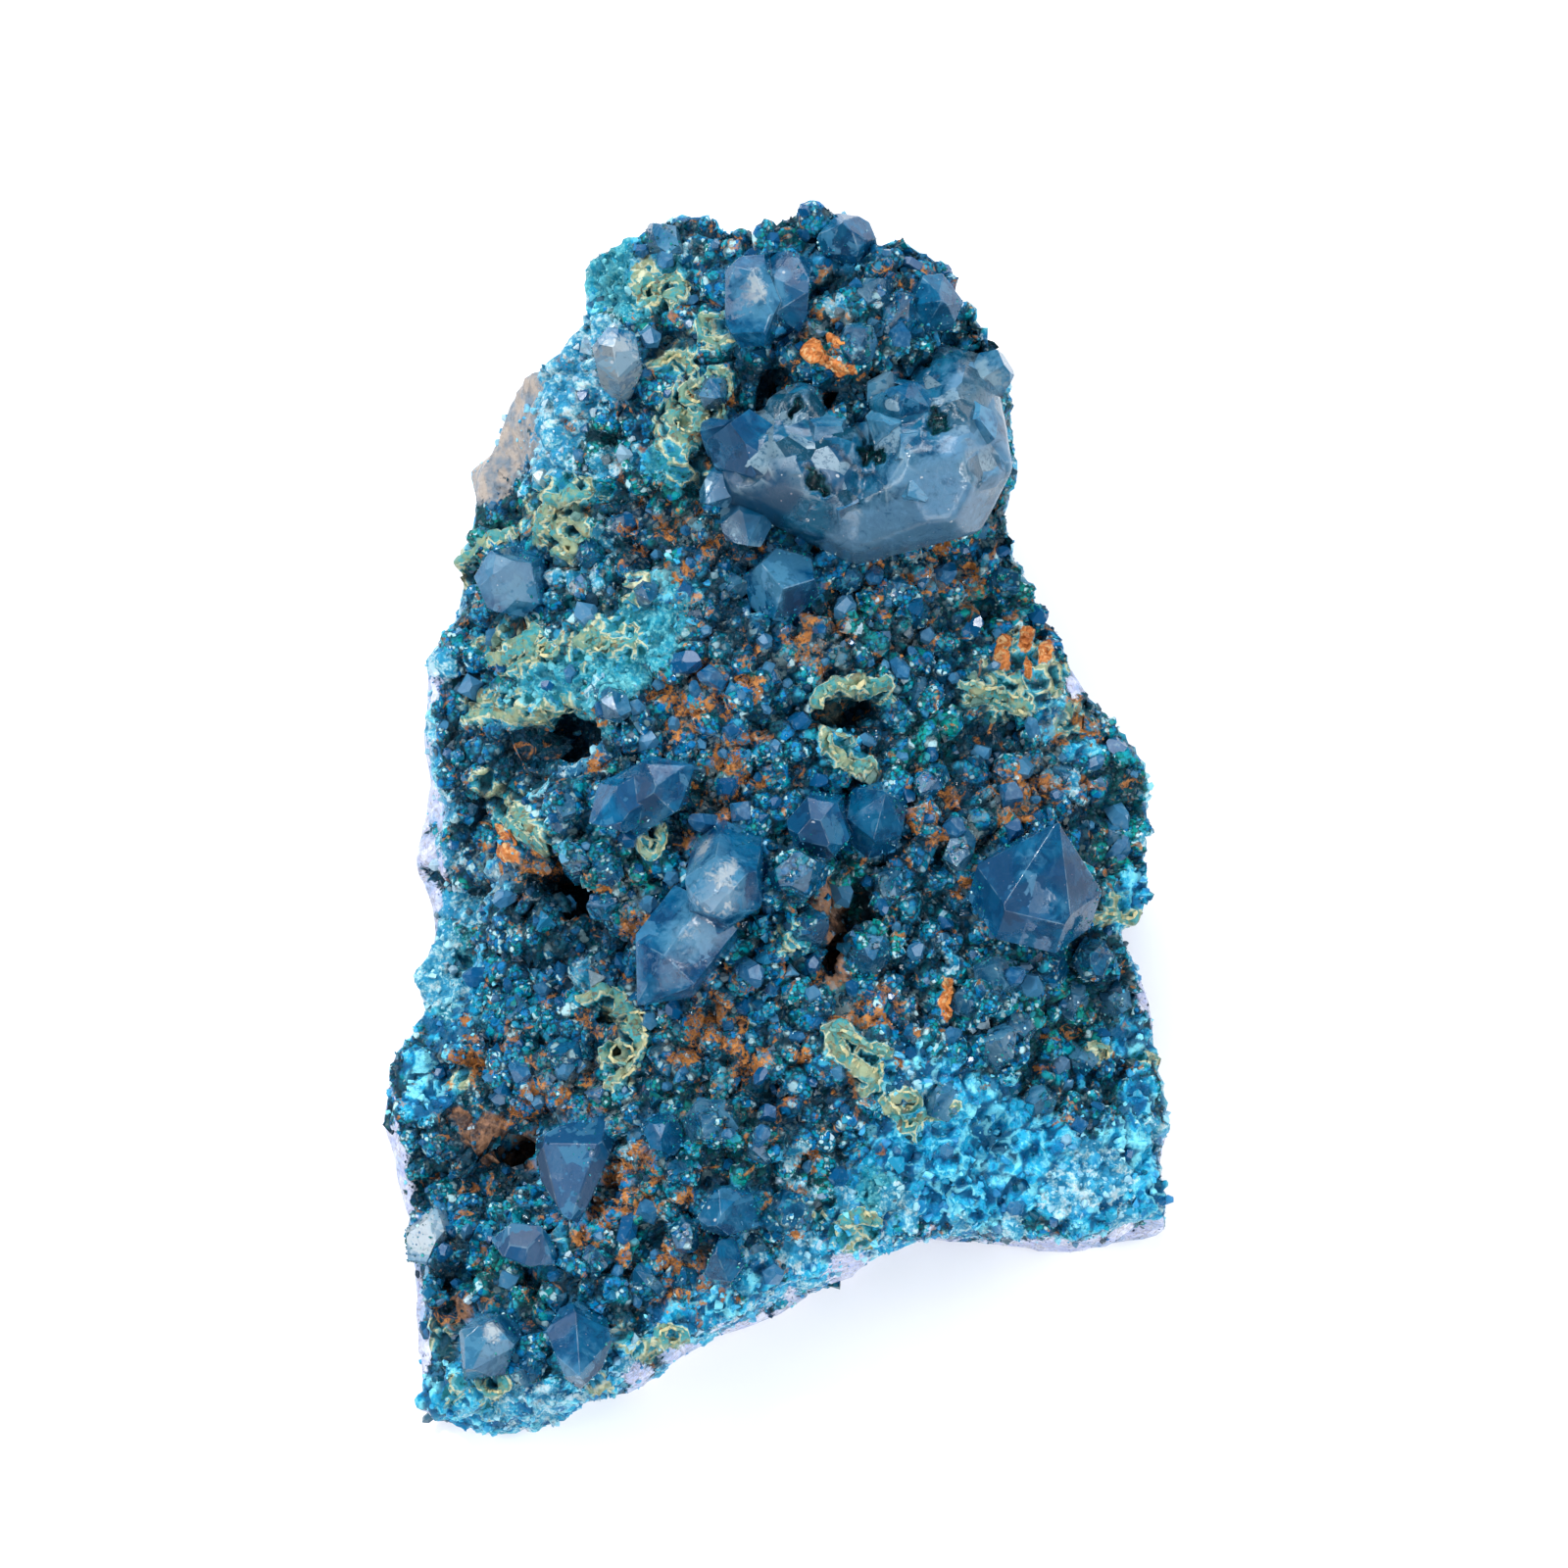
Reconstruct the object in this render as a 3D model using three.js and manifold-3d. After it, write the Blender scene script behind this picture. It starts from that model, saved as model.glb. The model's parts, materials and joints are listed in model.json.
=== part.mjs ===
// Shattuckite specimen: a wedge of copper-stained rock whose upper face is a crust of quartz
// crystals. Millimetres, +Z up. It lies on its flat broken underside, crystal face up, and the
// face leans down towards the front (-Y).

import * as THREE from "three";
import { ConvexGeometry } from "three/addons/geometries/ConvexGeometry.js";
import { mergeVertices } from "three/addons/utils/BufferGeometryUtils.js";
import Module from "manifold-3d";

const wasm = await Module();
wasm.setup();

// ---------------------------------------------------------------- driving dimensions

// The crystal face is laid out on a drawing plane square to a sight line. A place on it is
// [across, up] in millimetres, and the sight line carries the place down to the rock.
const SIGHT_ELEVATION = THREE.MathUtils.degToRad(77);
const SIGHT_DISTANCE = 450;
const FACE_HEIGHT = 18;

const SEAT_GAP = 0.3; // clearance all round a crystal that is a piece of its own
const GRID_STEP = 2.5; // spacing of the relief's points
const GRID_JITTER = 0.3; // share of a step by which a point wanders
const REACH = 30; // half width of the block that the relief is cut on
const BLOCK_FLOOR = -2;
const WALL_TOP = 60;
const WALL_ROUGHNESS = 2.2;
const RIM_ALLOWANCE = 0.7; // how far above the relief the wall goes on sloping
const CHIP_HEIGHT = 1.3; // the chipped lower edge of the wall
const CHIP_INSET = 0.7;
const SPOT_SOFTNESS = 1.2; // rounding of the relief near a height spot
const LUMP_SIZES = [[5.2, 1.5], [2.7, 0.9]]; // wavelength and height of the relief's lumps
const RHOMB_SLOPE = THREE.MathUtils.degToRad(51.8); // quartz: tip face against the long axis
const FACE_UNEVENNESS = 0.14; // share by which a crystal's faces differ in reach

// The rim of the crystal face, clockwise from the back left: [across, up, how far the wall's
// foot stands out]. The wall draws in where that is negative.
const RIM = [
  // back
  [-11.1, 37.3, -1.0], [-8.1, 38.1, -1.4], [-6.5, 39.2, -1.8], [-4.8, 39.5, -1.6],
  [-3.1, 38.2, -0.8], [-1.3, 38.2, -0.8], [0.3, 39.4, -1.4], [2.5, 40.0, -1.8], [4.2, 39.8, -1.6],
  [7.0, 37.9, -1.2], [9.7, 36.6, -1.2], [11.0, 36.4, -1.4],
  // right
  [12.4, 33.7, -1.2], [13.6, 31.3, -1.2], [14.6, 28.6, -1.4], [15.2, 22.7, -1.8],
  [14.6, 20.7, -1.0], [16.2, 16.0, -1.2], [17.6, 12.7, -1.2], [18.9, 9.7, -1.0], [22.3, 5.1, -1.4],
  [23.7, 2.6, -1.6], [24.2, -0.2, -1.4], [23.8, -4.8, -1.4], [22.0, -6.8, -0.4], [23.4, -10.9, -0.8],
  [24.7, -15.9, -1.0], [25.2, -18.5, -1.2], [24.8, -22.2, -0.6],
  // front
  [25.2, -24.7, 0], [24.2, -25.2, 0.2], [21.1, -25.7, 0], [18.9, -25.8, 0.2], [14.6, -26.0, -0.4],
  [11.9, -25.8, -0.6], [6.9, -26.0, -0.8], [4.8, -27.6, -0.2], [2.5, -28.9, -0.5],
  [0.3, -29.8, 0.3], [-2.6, -30.9, 0.3], [-6.1, -32.3, 0.1], [-9.5, -34.4, 0.6],
  [-12.4, -36.1, -0.6], [-14.9, -36.9, 0.5], [-18.7, -37.3, 0.8], [-21.1, -37.3, 0.4],
  // left
  [-22.5, -36.9, 1.0], [-22.7, -35.3, 0.4], [-23.1, -31.8, 0.2], [-23.2, -28.7, 0.5],
  [-23.9, -25.5, 0.2], [-23.9, -22.7, 0.2], [-25.0, -20.2, 0.1], [-25.2, -18.1, 0.2],
  [-24.6, -14.8, 0.1], [-23.3, -13.2, 0.2], [-22.8, -11.3, 0.4], [-22.7, -9.1, 0.7],
  [-22.0, -6.9, 0.6], [-21.5, -4.7, 1.1], [-21.7, -1.9, 1.8], [-21.5, 1.3, 2.2], [-21.8, 4.8, 1.3],
  [-22.0, 8.0, 1.5], [-21.7, 10.8, 1.3], [-20.7, 13.3, 0.8], [-20.2, 16.8, 0.7], [-19.3, 19.9, 0.6],
  [-19.1, 22.7, 0.7], [-17.9, 25.9, 0.6], [-16.3, 28.6, 0.4], [-14.8, 29.2, 0.1], [-13.0, 31.6, 0.3],
  [-12.4, 33.7, 0.2], [-12.6, 35.7, -0.4],
];

// How far the rock lies below the drawing plane: [across, up, depth].
const HEIGHT_SPOTS = [
  // the block at the back, with its pale wall and the low ledge beside it
  [3.4, 38.5, 2], [-1.0, 34.1, 1], [6.6, 34.1, 0], [10.3, 34.1, 2], [12.9, 29.1, 2],
  [5.3, 27.8, -0.5], [0.3, 24.6, 0], [9.7, 22.7, -0.5], [14.1, 23.4, 2], [6.6, 20.4, 0.5],
  [-11.1, 24.6, 3], [-6.7, 25.9, 2], [-9.8, 29.1, 1], [-13.9, 27.0, 3], [-14.3, 22.5, 4],
  [-16.9, 25.0, 11], [-17.8, 21.5, 11], [-18.7, 19.2, 11], [-9.8, 36.0, 4], [-12.4, 34.1, 7],
  // the step below the block and the right shoulder
  [5.3, 15.2, 3.5], [12.9, 15.2, 5], [16.7, 12.0, 7], [0.3, 15.2, 1], [-6.1, 15.2, 1],
  [-16.2, 15.2, 5], [-19.9, 13.9, 10], [-14.9, 8.9, 4], [-19.9, 7.6, 10], [-9.8, 10.1, 1],
  [-4.8, 8.9, 0], [1.5, 8.9, 1], [6.6, 10.1, 2], [10.3, 8.9, 3], [16.0, 7.6, 5], [21.1, 3.8, 7],
  [12.9, 2.6, 3], [22.3, -0.6, 8], [16.0, -3.8, 2.5], [8.5, 1.3, 1], [4.0, 0.0, 0.5],
  // the ridge in the middle and the steep left side
  [-3.5, 1.3, 0], [-9.2, 1.3, 0], [-13.0, 1.3, 1], [-3.8, -3.1, -1], [-6.1, -7.2, 0],
  [-11.7, -3.8, 0], [-15.2, -2.5, 4], [-19.9, -0.6, 9], [-21.3, -3.8, 12], [-12.4, -10.1, 5],
  [-14.9, -10.1, 7], [-19.9, -10.1, 8], [-22.3, -10.1, 12], [0.3, -7.5, 0], [3.7, -7.5, 4],
  [7.8, -7.5, 1], [12.9, -10.1, 2], [19.2, -10.1, 4], [22.3, -13.2, 6],
  // the broad front
  [6.6, -15.1, 0], [-1.0, -15.1, 0], [-6.1, -15.1, 1], [-9.8, -15.1, 3], [-14.9, -15.1, 5],
  [-19.9, -16.4, 7], [-23.1, -17.6, 9], [-13.0, -20.8, 4], [-18.7, -21.4, 9], [-23.1, -25.2, 9],
  [-7.3, -20.2, 1], [-2.3, -21.4, 0], [6.6, -21.4, 0], [12.9, -21.4, 1], [19.2, -21.4, 2],
  [23.6, -22.7, 4], [-2.9, -27.7, 0], [3.4, -25.2, 0], [9.7, -24.6, 1], [16.0, -24.6, 2],
  [-9.8, -26.5, 1], [-16.2, -26.5, 1], [-20.6, -29.0, 5], [-12.4, -32.8, 0], [-18.7, -33.4, 1],
  [-22.5, -35.3, 4], [-7.3, -30.9, 1], [1.5, -28.4, 2],
];

// Sharp hollows: [across, up, length, breadth, depth, turn in degrees].
const HOLLOWS = [
  [4.6, 7.0, 4.6, 1.5, 6, 2], [-13.8, 5.3, 5.2, 3.2, 5, 10], [-13.4, -5.4, 6.5, 2.6, 6, -52],
  [3.6, -7.6, 2.4, 5.6, 6, -8], [-17.9, -21.0, 5.6, 2.8, 5, -6], [-10.6, -12.4, 3.4, 2.0, 3, 0],
  [-0.6, 28.0, 4.8, 1.6, 2.5, -8], [-20.3, -8.6, 2.2, 4.2, 4, 0],
];

// Box-work: thin walls left standing round crystals that have gone. Each is a path of places.
const RIM_RADIUS = 0.42;
const RIM_STEPS = 2;
const RIM_SIDES = 4;
const BOX_RIMS = [
  [[2.7, 8.1], [3.3, 9.0], [4.7, 9.2], [6.0, 9.0], [6.9, 9.2]],
  [[2.9, 5.1], [3.4, 3.2], [5.0, 2.9], [6.4, 3.8]],
  [[-17.9, 10.6], [-16.8, 11.4], [-15.4, 12.1]],
  [[12.2, 9.2], [14.1, 8.7], [16.5, 8.1]],
  [[3.4, -13.5], [5.3, -13.2], [6.9, -14.8]],
  [[4.5, -25.7], [5.6, -25.3], [6.7, -25.8], [6.4, -27.0]],
  [[-6.7, 28.3], [-5.3, 28.7], [-3.8, 28.3], [-4.0, 26.5], [-5.3, 25.8]],
  [[-9.8, 34.7], [-8.1, 35.1], [-6.4, 34.1], [-6.7, 33.3]],
  [[-14.9, 21.2], [-13.6, 21.5], [-12.2, 20.7], [-12.4, 19.0]],
  [[-12.4, -11.3], [-11.0, -10.8], [-9.3, -11.5], [-8.9, -12.9], [-9.8, -14.0]],
  [[-19.0, 8.2], [-17.0, 8.6], [-14.8, 8.0]],
];
const FINGER_RADIUS = 0.6;
const FINGERS = [
  [[14.3, 11.7], [14.8, 8.9]], [[15.7, 11.7], [15.9, 9.0]], [[17.2, 11.1], [16.8, 8.9]],
];

// Crystals that are pieces of their own. `at` is a face place, `rise` lifts the root's centre
// off the rock, `axis` points to the tip as [across, up, out towards the viewer], `flat` squeezes
// one pair of sides, `cap` cuts the tip off level at that distance. Crystals listed in one entry
// have grown together.
const SEATED_CRYSTALS = {
  quartz_crown: [
    { at: [-0.9, 22.9], rise: 0.2, axis: [-0.3, -0.35, 1], width: 5.8, length: 4.6, cap: 3.2, twist: 12 },
    { at: [3.4, 22.8], rise: 0.1, axis: [0.05, -0.35, 1], width: 5.4, length: 4.2, twist: 26 },
    { at: [10.0, 22.2], rise: 0.5, axis: [0.1, -0.2, 1], width: 8.4, length: 5.2, cap: 2.8, twist: 94, flat: 0.8 },
    { at: [11.4, 27.4], rise: 0.0, axis: [0.2, 0.05, 1], width: 5.8, length: 4.2, cap: 2.7, twist: 16 },
    { at: [4.9, 19.8], rise: 0.2, axis: [-0.1, -0.55, 1], width: 6.4, length: 3.9, cap: 2.2, twist: 0 },
    { at: [1.2, 26.2], rise: -0.2, axis: [0.1, 0.5, 1], width: 3.8, length: 3.2, twist: 8 },
    { at: [7.9, 26.4], rise: -0.2, axis: [-0.1, 0.3, 1], width: 4.0, length: 3.6, twist: 20 },
  ],
  quartz_back_tablet: [
    { at: [-0.9, 34.2], rise: 0, axis: [-0.2, -0.1, 1], width: 4.4, length: 4.4, cap: 2.8, twist: 30 },
    { at: [1.4, 34.8], rise: -0.4, axis: [0.7, -0.1, 0.9], width: 3.4, length: 3.2, twist: 12 },
  ],
  quartz_peak: [
    { at: [4.4, 37.4], rise: -0.2, axis: [-0.1, 0.4, 1], width: 3.2, length: 3.0, twist: 20 },
  ],
  quartz_shoulder: [
    { at: [9.9, 33.4], rise: 0, axis: [0.15, 0, 1], width: 3.3, length: 3.2, root: 2.2, twist: 38 },
  ],
  quartz_blocky_prism: [
    { at: [0.3, 15.4], rise: 0.4, axis: [-0.05, -0.15, 1], width: 4.6, length: 2.6, blunt: true, twist: 73 },
  ],
  quartz_left_block: [
    { at: [-17.2, 15.6], rise: 0, axis: [-0.3, -0.2, 1], width: 4.2, length: 3.8, twist: 8 },
  ],
  quartz_pale_spray: [
    { at: [-10.6, 29.0], rise: -0.2, axis: [-0.1, 0.3, 1], width: 3.0, length: 3.8, twist: 10 },
  ],
  quartz_centre_left: [
    { at: [-8.0, 2.2], rise: 0.6, axis: [0.85, 0.55, 0.4], width: 3.6, length: 3.2, root: 2.4, twist: 12 },
    { at: [-9.6, 1.6], rise: 0.2, axis: [-0.9, -0.5, 0.6], width: 3.2, length: 3.6, root: 2.0, twist: 30 },
  ],
  quartz_centre_twins: [
    { at: [-3.6, -3.5], rise: 0.7, axis: [-0.1, -0.5, 1], width: 4.3, length: 4.8, cap: 3.8, root: 3.4, twist: 6 },
    { at: [-5.7, -7.2], rise: 1.0, axis: [-0.6, -0.76, 0.25], width: 4.9, length: 5.8, root: 1.8, twist: 26, pointed: true },
  ],
  quartz_right_pair: [
    { at: [2.5, -0.1], rise: 0, axis: [-0.15, -0.2, 1], width: 3.7, length: 3.4, cap: 2.5, twist: 18 },
    { at: [6.2, 0.5], rise: 0, axis: [0.2, 0.5, 0.9], width: 3.7, length: 3.0, root: 1.8, twist: 50 },
  ],
  quartz_east_pyramid: [
    { at: [16.4, -4.8], rise: 0.2, axis: [0.22, 0.78, 0.55], width: 7.2, length: 6.1, root: 1.2, twist: 20, pointed: true },
  ],
  quartz_west_point: [
    { at: [-12.7, -21.4], rise: 0, axis: [-0.1, -0.5, 1], width: 5.0, length: 4.6, twist: 30 },
  ],
  quartz_plate: [
    { at: [-16.5, -27.4], rise: -0.2, axis: [-0.2, -0.3, 1], width: 4.2, length: 2.6, twist: 15 },
  ],
  quartz_corner_pale: [
    { at: [-19.0, -33.2], rise: 0.2, axis: [-0.25, -0.25, 1], width: 4.4, length: 3.8, twist: 40 },
  ],
  quartz_corner_blue: [
    { at: [-12.7, -33.4], rise: 0.2, axis: [0.1, -0.3, 1], width: 4.7, length: 4.2, twist: 2 },
  ],
  quartz_west_edge: [
    { at: [-22.8, -26.4], rise: 1.2, axis: [-0.35, 0.1, 1], width: 3.2, length: 3.2, cap: 1.7, twist: 25 },
  ],
  quartz_south_block: [
    { at: [-3.6, -24.7], rise: 0, axis: [-0.1, -0.2, 1], width: 3.9, length: 3.4, twist: 10 },
  ],
  quartz_south_wedge: [
    { at: [-7.6, -19.8], rise: 0, axis: [0.1, -0.3, 1], width: 3.0, length: 2.8, twist: 32 },
  ],
  quartz_south_spike: [
    { at: [-3.6, -28.6], rise: 0, axis: [-0.1, 0.2, 1], width: 2.9, length: 3.2, twist: 20 },
  ],
};
const SOCKET_REACH = 3; // how far a socket goes on past its crystal's tip
const SEATED_SEED = 100;
const SEEDS_PER_ENTRY = 10;
const SEATED_ROOT = 2.6; // how deep a seated crystal reaches below its root's centre

// Smaller crystals, fused to the rock: [across, up, width, lean across, lean up, twist].
const FUSED_CRYSTALS = [
  [-7.2, 37.0, 2.2, -0.2, 0.3, 10], [-4.6, 28.0, 1.7, 0.2, 0.1, 30], [6.2, 31.4, 1.6, 0.3, 0, 0],
  [9.4, 30.3, 1.8, -0.2, 0.2, 50], [2.0, 29.6, 2.0, 0, -0.3, 15], [4.6, 30.4, 2.4, 0.1, -0.2, 40],
  [-8.9, 15.3, 1.5, 0.2, -0.2, 20], [-12.4, 14.6, 1.6, 0, 0.3, 5], [-3.6, 15.0, 1.7, 0.2, 0, 25],
  [6.9, 14.9, 2.0, 0.3, -0.2, 10], [8.6, 13.5, 1.5, 0, 0, 45], [5.0, 16.2, 1.5, -0.3, 0, 35],
  [14.2, 15.8, 1.9, 0.3, 0.1, 20], [-11.1, 8.2, 1.9, -0.2, 0.1, 10], [-8.9, 6.8, 1.5, 0, -0.3, 50],
  [-5.7, 3.7, 1.7, 0.3, 0, 5], [9.0, 8.2, 1.7, 0.1, -0.2, 33], [9.7, 2.7, 1.6, 0.2, 0.2, 12],
  [18.4, 2.4, 1.9, 0.1, 0.1, 28], [-13.9, 1.2, 1.8, -0.4, 0.1, 8], [-12.9, -2.6, 2.0, -0.3, 0, 40],
  [-11.4, -3.1, 1.7, 0.1, 0.2, 15], [-10.6, -5.6, 1.7, -0.3, -0.3, 22], [-13.4, 0, 1.5, -0.5, 0, 5],
  [0.3, -4.0, 2.8, 0.2, 0, 12], [5.6, -7.9, 2.4, -0.2, -0.3, 26], [-3.9, -10.6, 1.6, 0.2, -0.3, 9],
  [-11.4, -9.6, 1.9, -0.2, -0.2, 48], [0.9, -6.9, 2.0, 0.3, 0.2, 18], [10.2, -8.6, 2.3, -0.2, 0.2, 36],
  [13.8, -10.6, 2.7, 0.2, -0.1, 7], [14.2, -14.7, 2.2, 0.1, 0.2, 52], [16.9, -8.4, 2.3, 0, -0.4, 20],
  [17.4, -9.8, 1.7, -0.2, 0, 44], [18.7, -11.0, 1.9, 0.3, -0.2, 14], [20.2, -9.0, 2.1, 0.2, 0.2, 31],
  [21.3, -10.9, 2.0, 0.4, 0, 3], [8.7, -13.9, 1.5, 0, 0, 27], [-13.3, -15.1, 1.9, -0.3, 0.1, 11],
  [-4.1, -19.6, 2.8, 0.2, 0.2, 24], [-5.9, -21.9, 1.8, -0.3, 0, 49], [-0.8, -20.8, 2.2, 0.2, -0.1, 6],
  [-6.5, -26.2, 1.7, -0.1, -0.2, 17], [0.4, -25.3, 2.2, 0.3, 0, 38], [-8.6, -29.6, 1.5, 0.1, 0.1, 29],
  [-12.4, -28.8, 1.6, -0.2, 0.2, 41], [-6.1, -29.4, 1.9, 0, -0.3, 13], [-14.9, -24.2, 1.5, 0, 0.2, 34],
  [-17.1, -35.0, 1.5, 0.2, -0.2, 2], [-15.9, -34.2, 1.4, 0, 0, 21], [7.4, -16.9, 1.7, 0.2, 0, 46],
  [18.9, -14.9, 1.6, 0.3, 0.2, 19], [16.4, -18.2, 1.8, 0.1, -0.2, 37], [11.0, -17.4, 1.9, -0.2, 0.1, 16],
  [2.4, -12.0, 1.8, 0.1, 0.1, 51], [-0.6, -12.6, 1.5, -0.2, 0.2, 4], [11.6, -1.6, 1.8, 0.2, 0.1, 39],
  [7.0, -4.4, 1.9, 0.1, -0.1, 23], [20.9, -0.9, 1.8, 0.4, 0.1, 1], [-17.0, -11.8, 1.8, -0.4, 0, 47],
];
const FUSED_ROOT = 0.9;
const FUSED_SEED = 300;
const POINTED_LAG = 1.02; // the lesser tip faces of a pointed crystal nearly match the others
const TIP_WIDTH = 1.95; // up to this width only a crystal's tip stands out of the rock

// Round lumps of blue crust: [across, up, radius].
const LUMPS = [
  [-21.6, -28.6, 1.9], [-22.2, -32.6, 1.6], [-20.6, -14.6, 2.0], [-22.8, -19.4, 2.2],
  [-18.4, -17.6, 1.9], [17.0, -21.4, 2.0], [20.8, -18.4, 2.3], [12.6, -23.0, 1.7],
  [8.6, -22.6, 1.6], [21.6, -22.6, 1.7], [-19.6, 3.6, 1.9], [-17.2, 18.4, 1.8],
  [-8.8, 32.0, 1.8], [-11.2, 33.0, 1.6], [-8.4, 22.6, 1.7], [20.6, 1.0, 1.9], [0.9, -3.6, 2.2],
  [-13.6, 19.6, 1.7], [22.4, -4.4, 1.5], [-5.0, 11.6, 1.6],
];

// ---------------------------------------------------------------- places and heights

const EYE = new THREE.Vector3(
  0,
  -Math.cos(SIGHT_ELEVATION) * SIGHT_DISTANCE,
  FACE_HEIGHT + Math.sin(SIGHT_ELEVATION) * SIGHT_DISTANCE,
);
const FACE_ACROSS = new THREE.Vector3(1, 0, 0);
const FACE_UP = new THREE.Vector3(0, Math.sin(SIGHT_ELEVATION), Math.cos(SIGHT_ELEVATION));
const FACE_OUT = new THREE.Vector3(0, -Math.cos(SIGHT_ELEVATION), Math.sin(SIGHT_ELEVATION));

// Repeatable random numbers from 0 to 1.
function randomSource(seed) {
  let state = seed;
  return () => {
    state = (state + 0x6d2b79f5) | 0;
    let mixed = Math.imul(state ^ (state >>> 15), 1 | state);
    mixed = (mixed + Math.imul(mixed ^ (mixed >>> 7), 61 | mixed)) ^ mixed;
    return ((mixed ^ (mixed >>> 14)) >>> 0) / 4294967296;
  };
}

// Where the sight line through a face place reaches the given height.
function sightPoint(across, up, height) {
  const onFace = new THREE.Vector3(across, 0, FACE_HEIGHT).addScaledVector(FACE_UP, up);
  return EYE.clone().lerp(onFace, (EYE.z - height) / (EYE.z - onFace.z));
}

const heightSpots = HEIGHT_SPOTS.map(([across, up, depth]) =>
  sightPoint(across, up, FACE_HEIGHT + up * FACE_UP.z - depth));

function latticeValue(column, row) {
  const wave = Math.sin(column * 127.1 + row * 311.7) * 43758.5453;
  return wave - Math.floor(wave) - 0.5;
}

// Smooth noise from -0.5 to 0.5 whose lumps are one unit apart.
function smoothNoise(x, y) {
  const column = Math.floor(x);
  const row = Math.floor(y);
  const across = THREE.MathUtils.smoothstep(x - column, 0, 1);
  const up = THREE.MathUtils.smoothstep(y - row, 0, 1);
  const low = THREE.MathUtils.lerp(latticeValue(column, row), latticeValue(column + 1, row), across);
  const high = THREE.MathUtils.lerp(
    latticeValue(column, row + 1), latticeValue(column + 1, row + 1), across);
  return THREE.MathUtils.lerp(low, high, up);
}

// Height of the bare rock over a plan point: a weighted mean of the height spots, made uneven.
function bareHeight(x, y) {
  let total = 0;
  let height = 0;
  for (const spot of heightSpots) {
    const apart = (spot.x - x) ** 2 + (spot.y - y) ** 2 + SPOT_SOFTNESS ** 2;
    const weight = 1 / apart ** 2;
    total += weight;
    height += weight * spot.z;
  }
  height /= total;
  for (const [size, swing] of LUMP_SIZES) {
    height += swing * smoothNoise(x / size + size, y / size - size);
  }
  return height;
}

// The point where the sight line through a face place meets the rock.
function rockPoint(across, up, heightOver = reliefHeight) {
  let point = sightPoint(across, up, FACE_HEIGHT);
  for (let pass = 0; pass < 24; pass += 1) {
    const height = THREE.MathUtils.lerp(point.z, heightOver(point.x, point.y), 0.5);
    point = sightPoint(across, up, height);
  }
  return point;
}

const lumps = LUMPS.map(([across, up, radius]) => ({
  middle: rockPoint(across, up, bareHeight),
  radius,
}));

// Height of the rock with its round lumps.
function reliefHeight(x, y) {
  const height = bareHeight(x, y);
  const swells = lumps.map(({ middle, radius }) => {
    const share = Math.hypot(middle.x - x, middle.y - y) / (1.25 * radius);
    return 0.75 * radius * Math.max(0, 1 - share ** 2);
  });
  return height + Math.max(...swells);
}

function faceDirection(across, up, out) {
  const direction = FACE_ACROSS.clone().multiplyScalar(across);
  direction.addScaledVector(FACE_UP, up);
  direction.addScaledVector(FACE_OUT, out);
  return direction.normalize();
}

// ---------------------------------------------------------------- solids

function solidFrom(geometry) {
  const bare = geometry.clone();
  bare.deleteAttribute("normal");
  bare.deleteAttribute("uv");
  const merged = mergeVertices(bare, 1e-4);
  return new wasm.Manifold(new wasm.Mesh({
    numProp: 3,
    vertProperties: new Float32Array(merged.attributes.position.array),
    triVerts: new Uint32Array(merged.index.array),
  }));
}

function geometryFrom(solid) {
  const mesh = solid.getMesh();
  const geometry = new THREE.BufferGeometry();
  geometry.setAttribute("position", new THREE.BufferAttribute(mesh.vertProperties, 3));
  geometry.setIndex(new THREE.BufferAttribute(mesh.triVerts, 1));
  const faceted = geometry.toNonIndexed();
  faceted.computeVertexNormals();
  return faceted;
}

function join(solids) {
  return solids.reduce((whole, solid) => whole.add(solid));
}

// The largest of a solid's separate pieces: chips that a cut leaves loose are dropped.
function mainPiece(solid) {
  return solid.decompose().reduce((best, piece) => (piece.volume() > best.volume() ? piece : best));
}

// A closed solid through rings of equal length, lowest first, each running anticlockwise.
function stackRings(rings) {
  const count = rings[0].length;
  const positions = rings.flat().flatMap((point) => [point.x, point.y, point.z]);
  const index = [];
  for (let level = 0; level < rings.length - 1; level += 1) {
    for (let step = 0; step < count; step += 1) {
      const here = level * count + step;
      const next = level * count + ((step + 1) % count);
      index.push(here, next, next + count, here, next + count, here + count);
    }
  }
  const capFaces = (ring) =>
    THREE.ShapeUtils.triangulateShape(ring.map((point) => new THREE.Vector2(point.x, point.y)), []);
  const top = (rings.length - 1) * count;
  for (const [a, b, c] of capFaces(rings[0])) {
    index.push(a, c, b);
  }
  for (const [a, b, c] of capFaces(rings.at(-1))) {
    index.push(top + a, top + b, top + c);
  }
  const geometry = new THREE.BufferGeometry();
  geometry.setAttribute("position", new THREE.Float32BufferAttribute(positions, 3));
  geometry.setIndex(index);
  return solidFrom(geometry);
}

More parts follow.
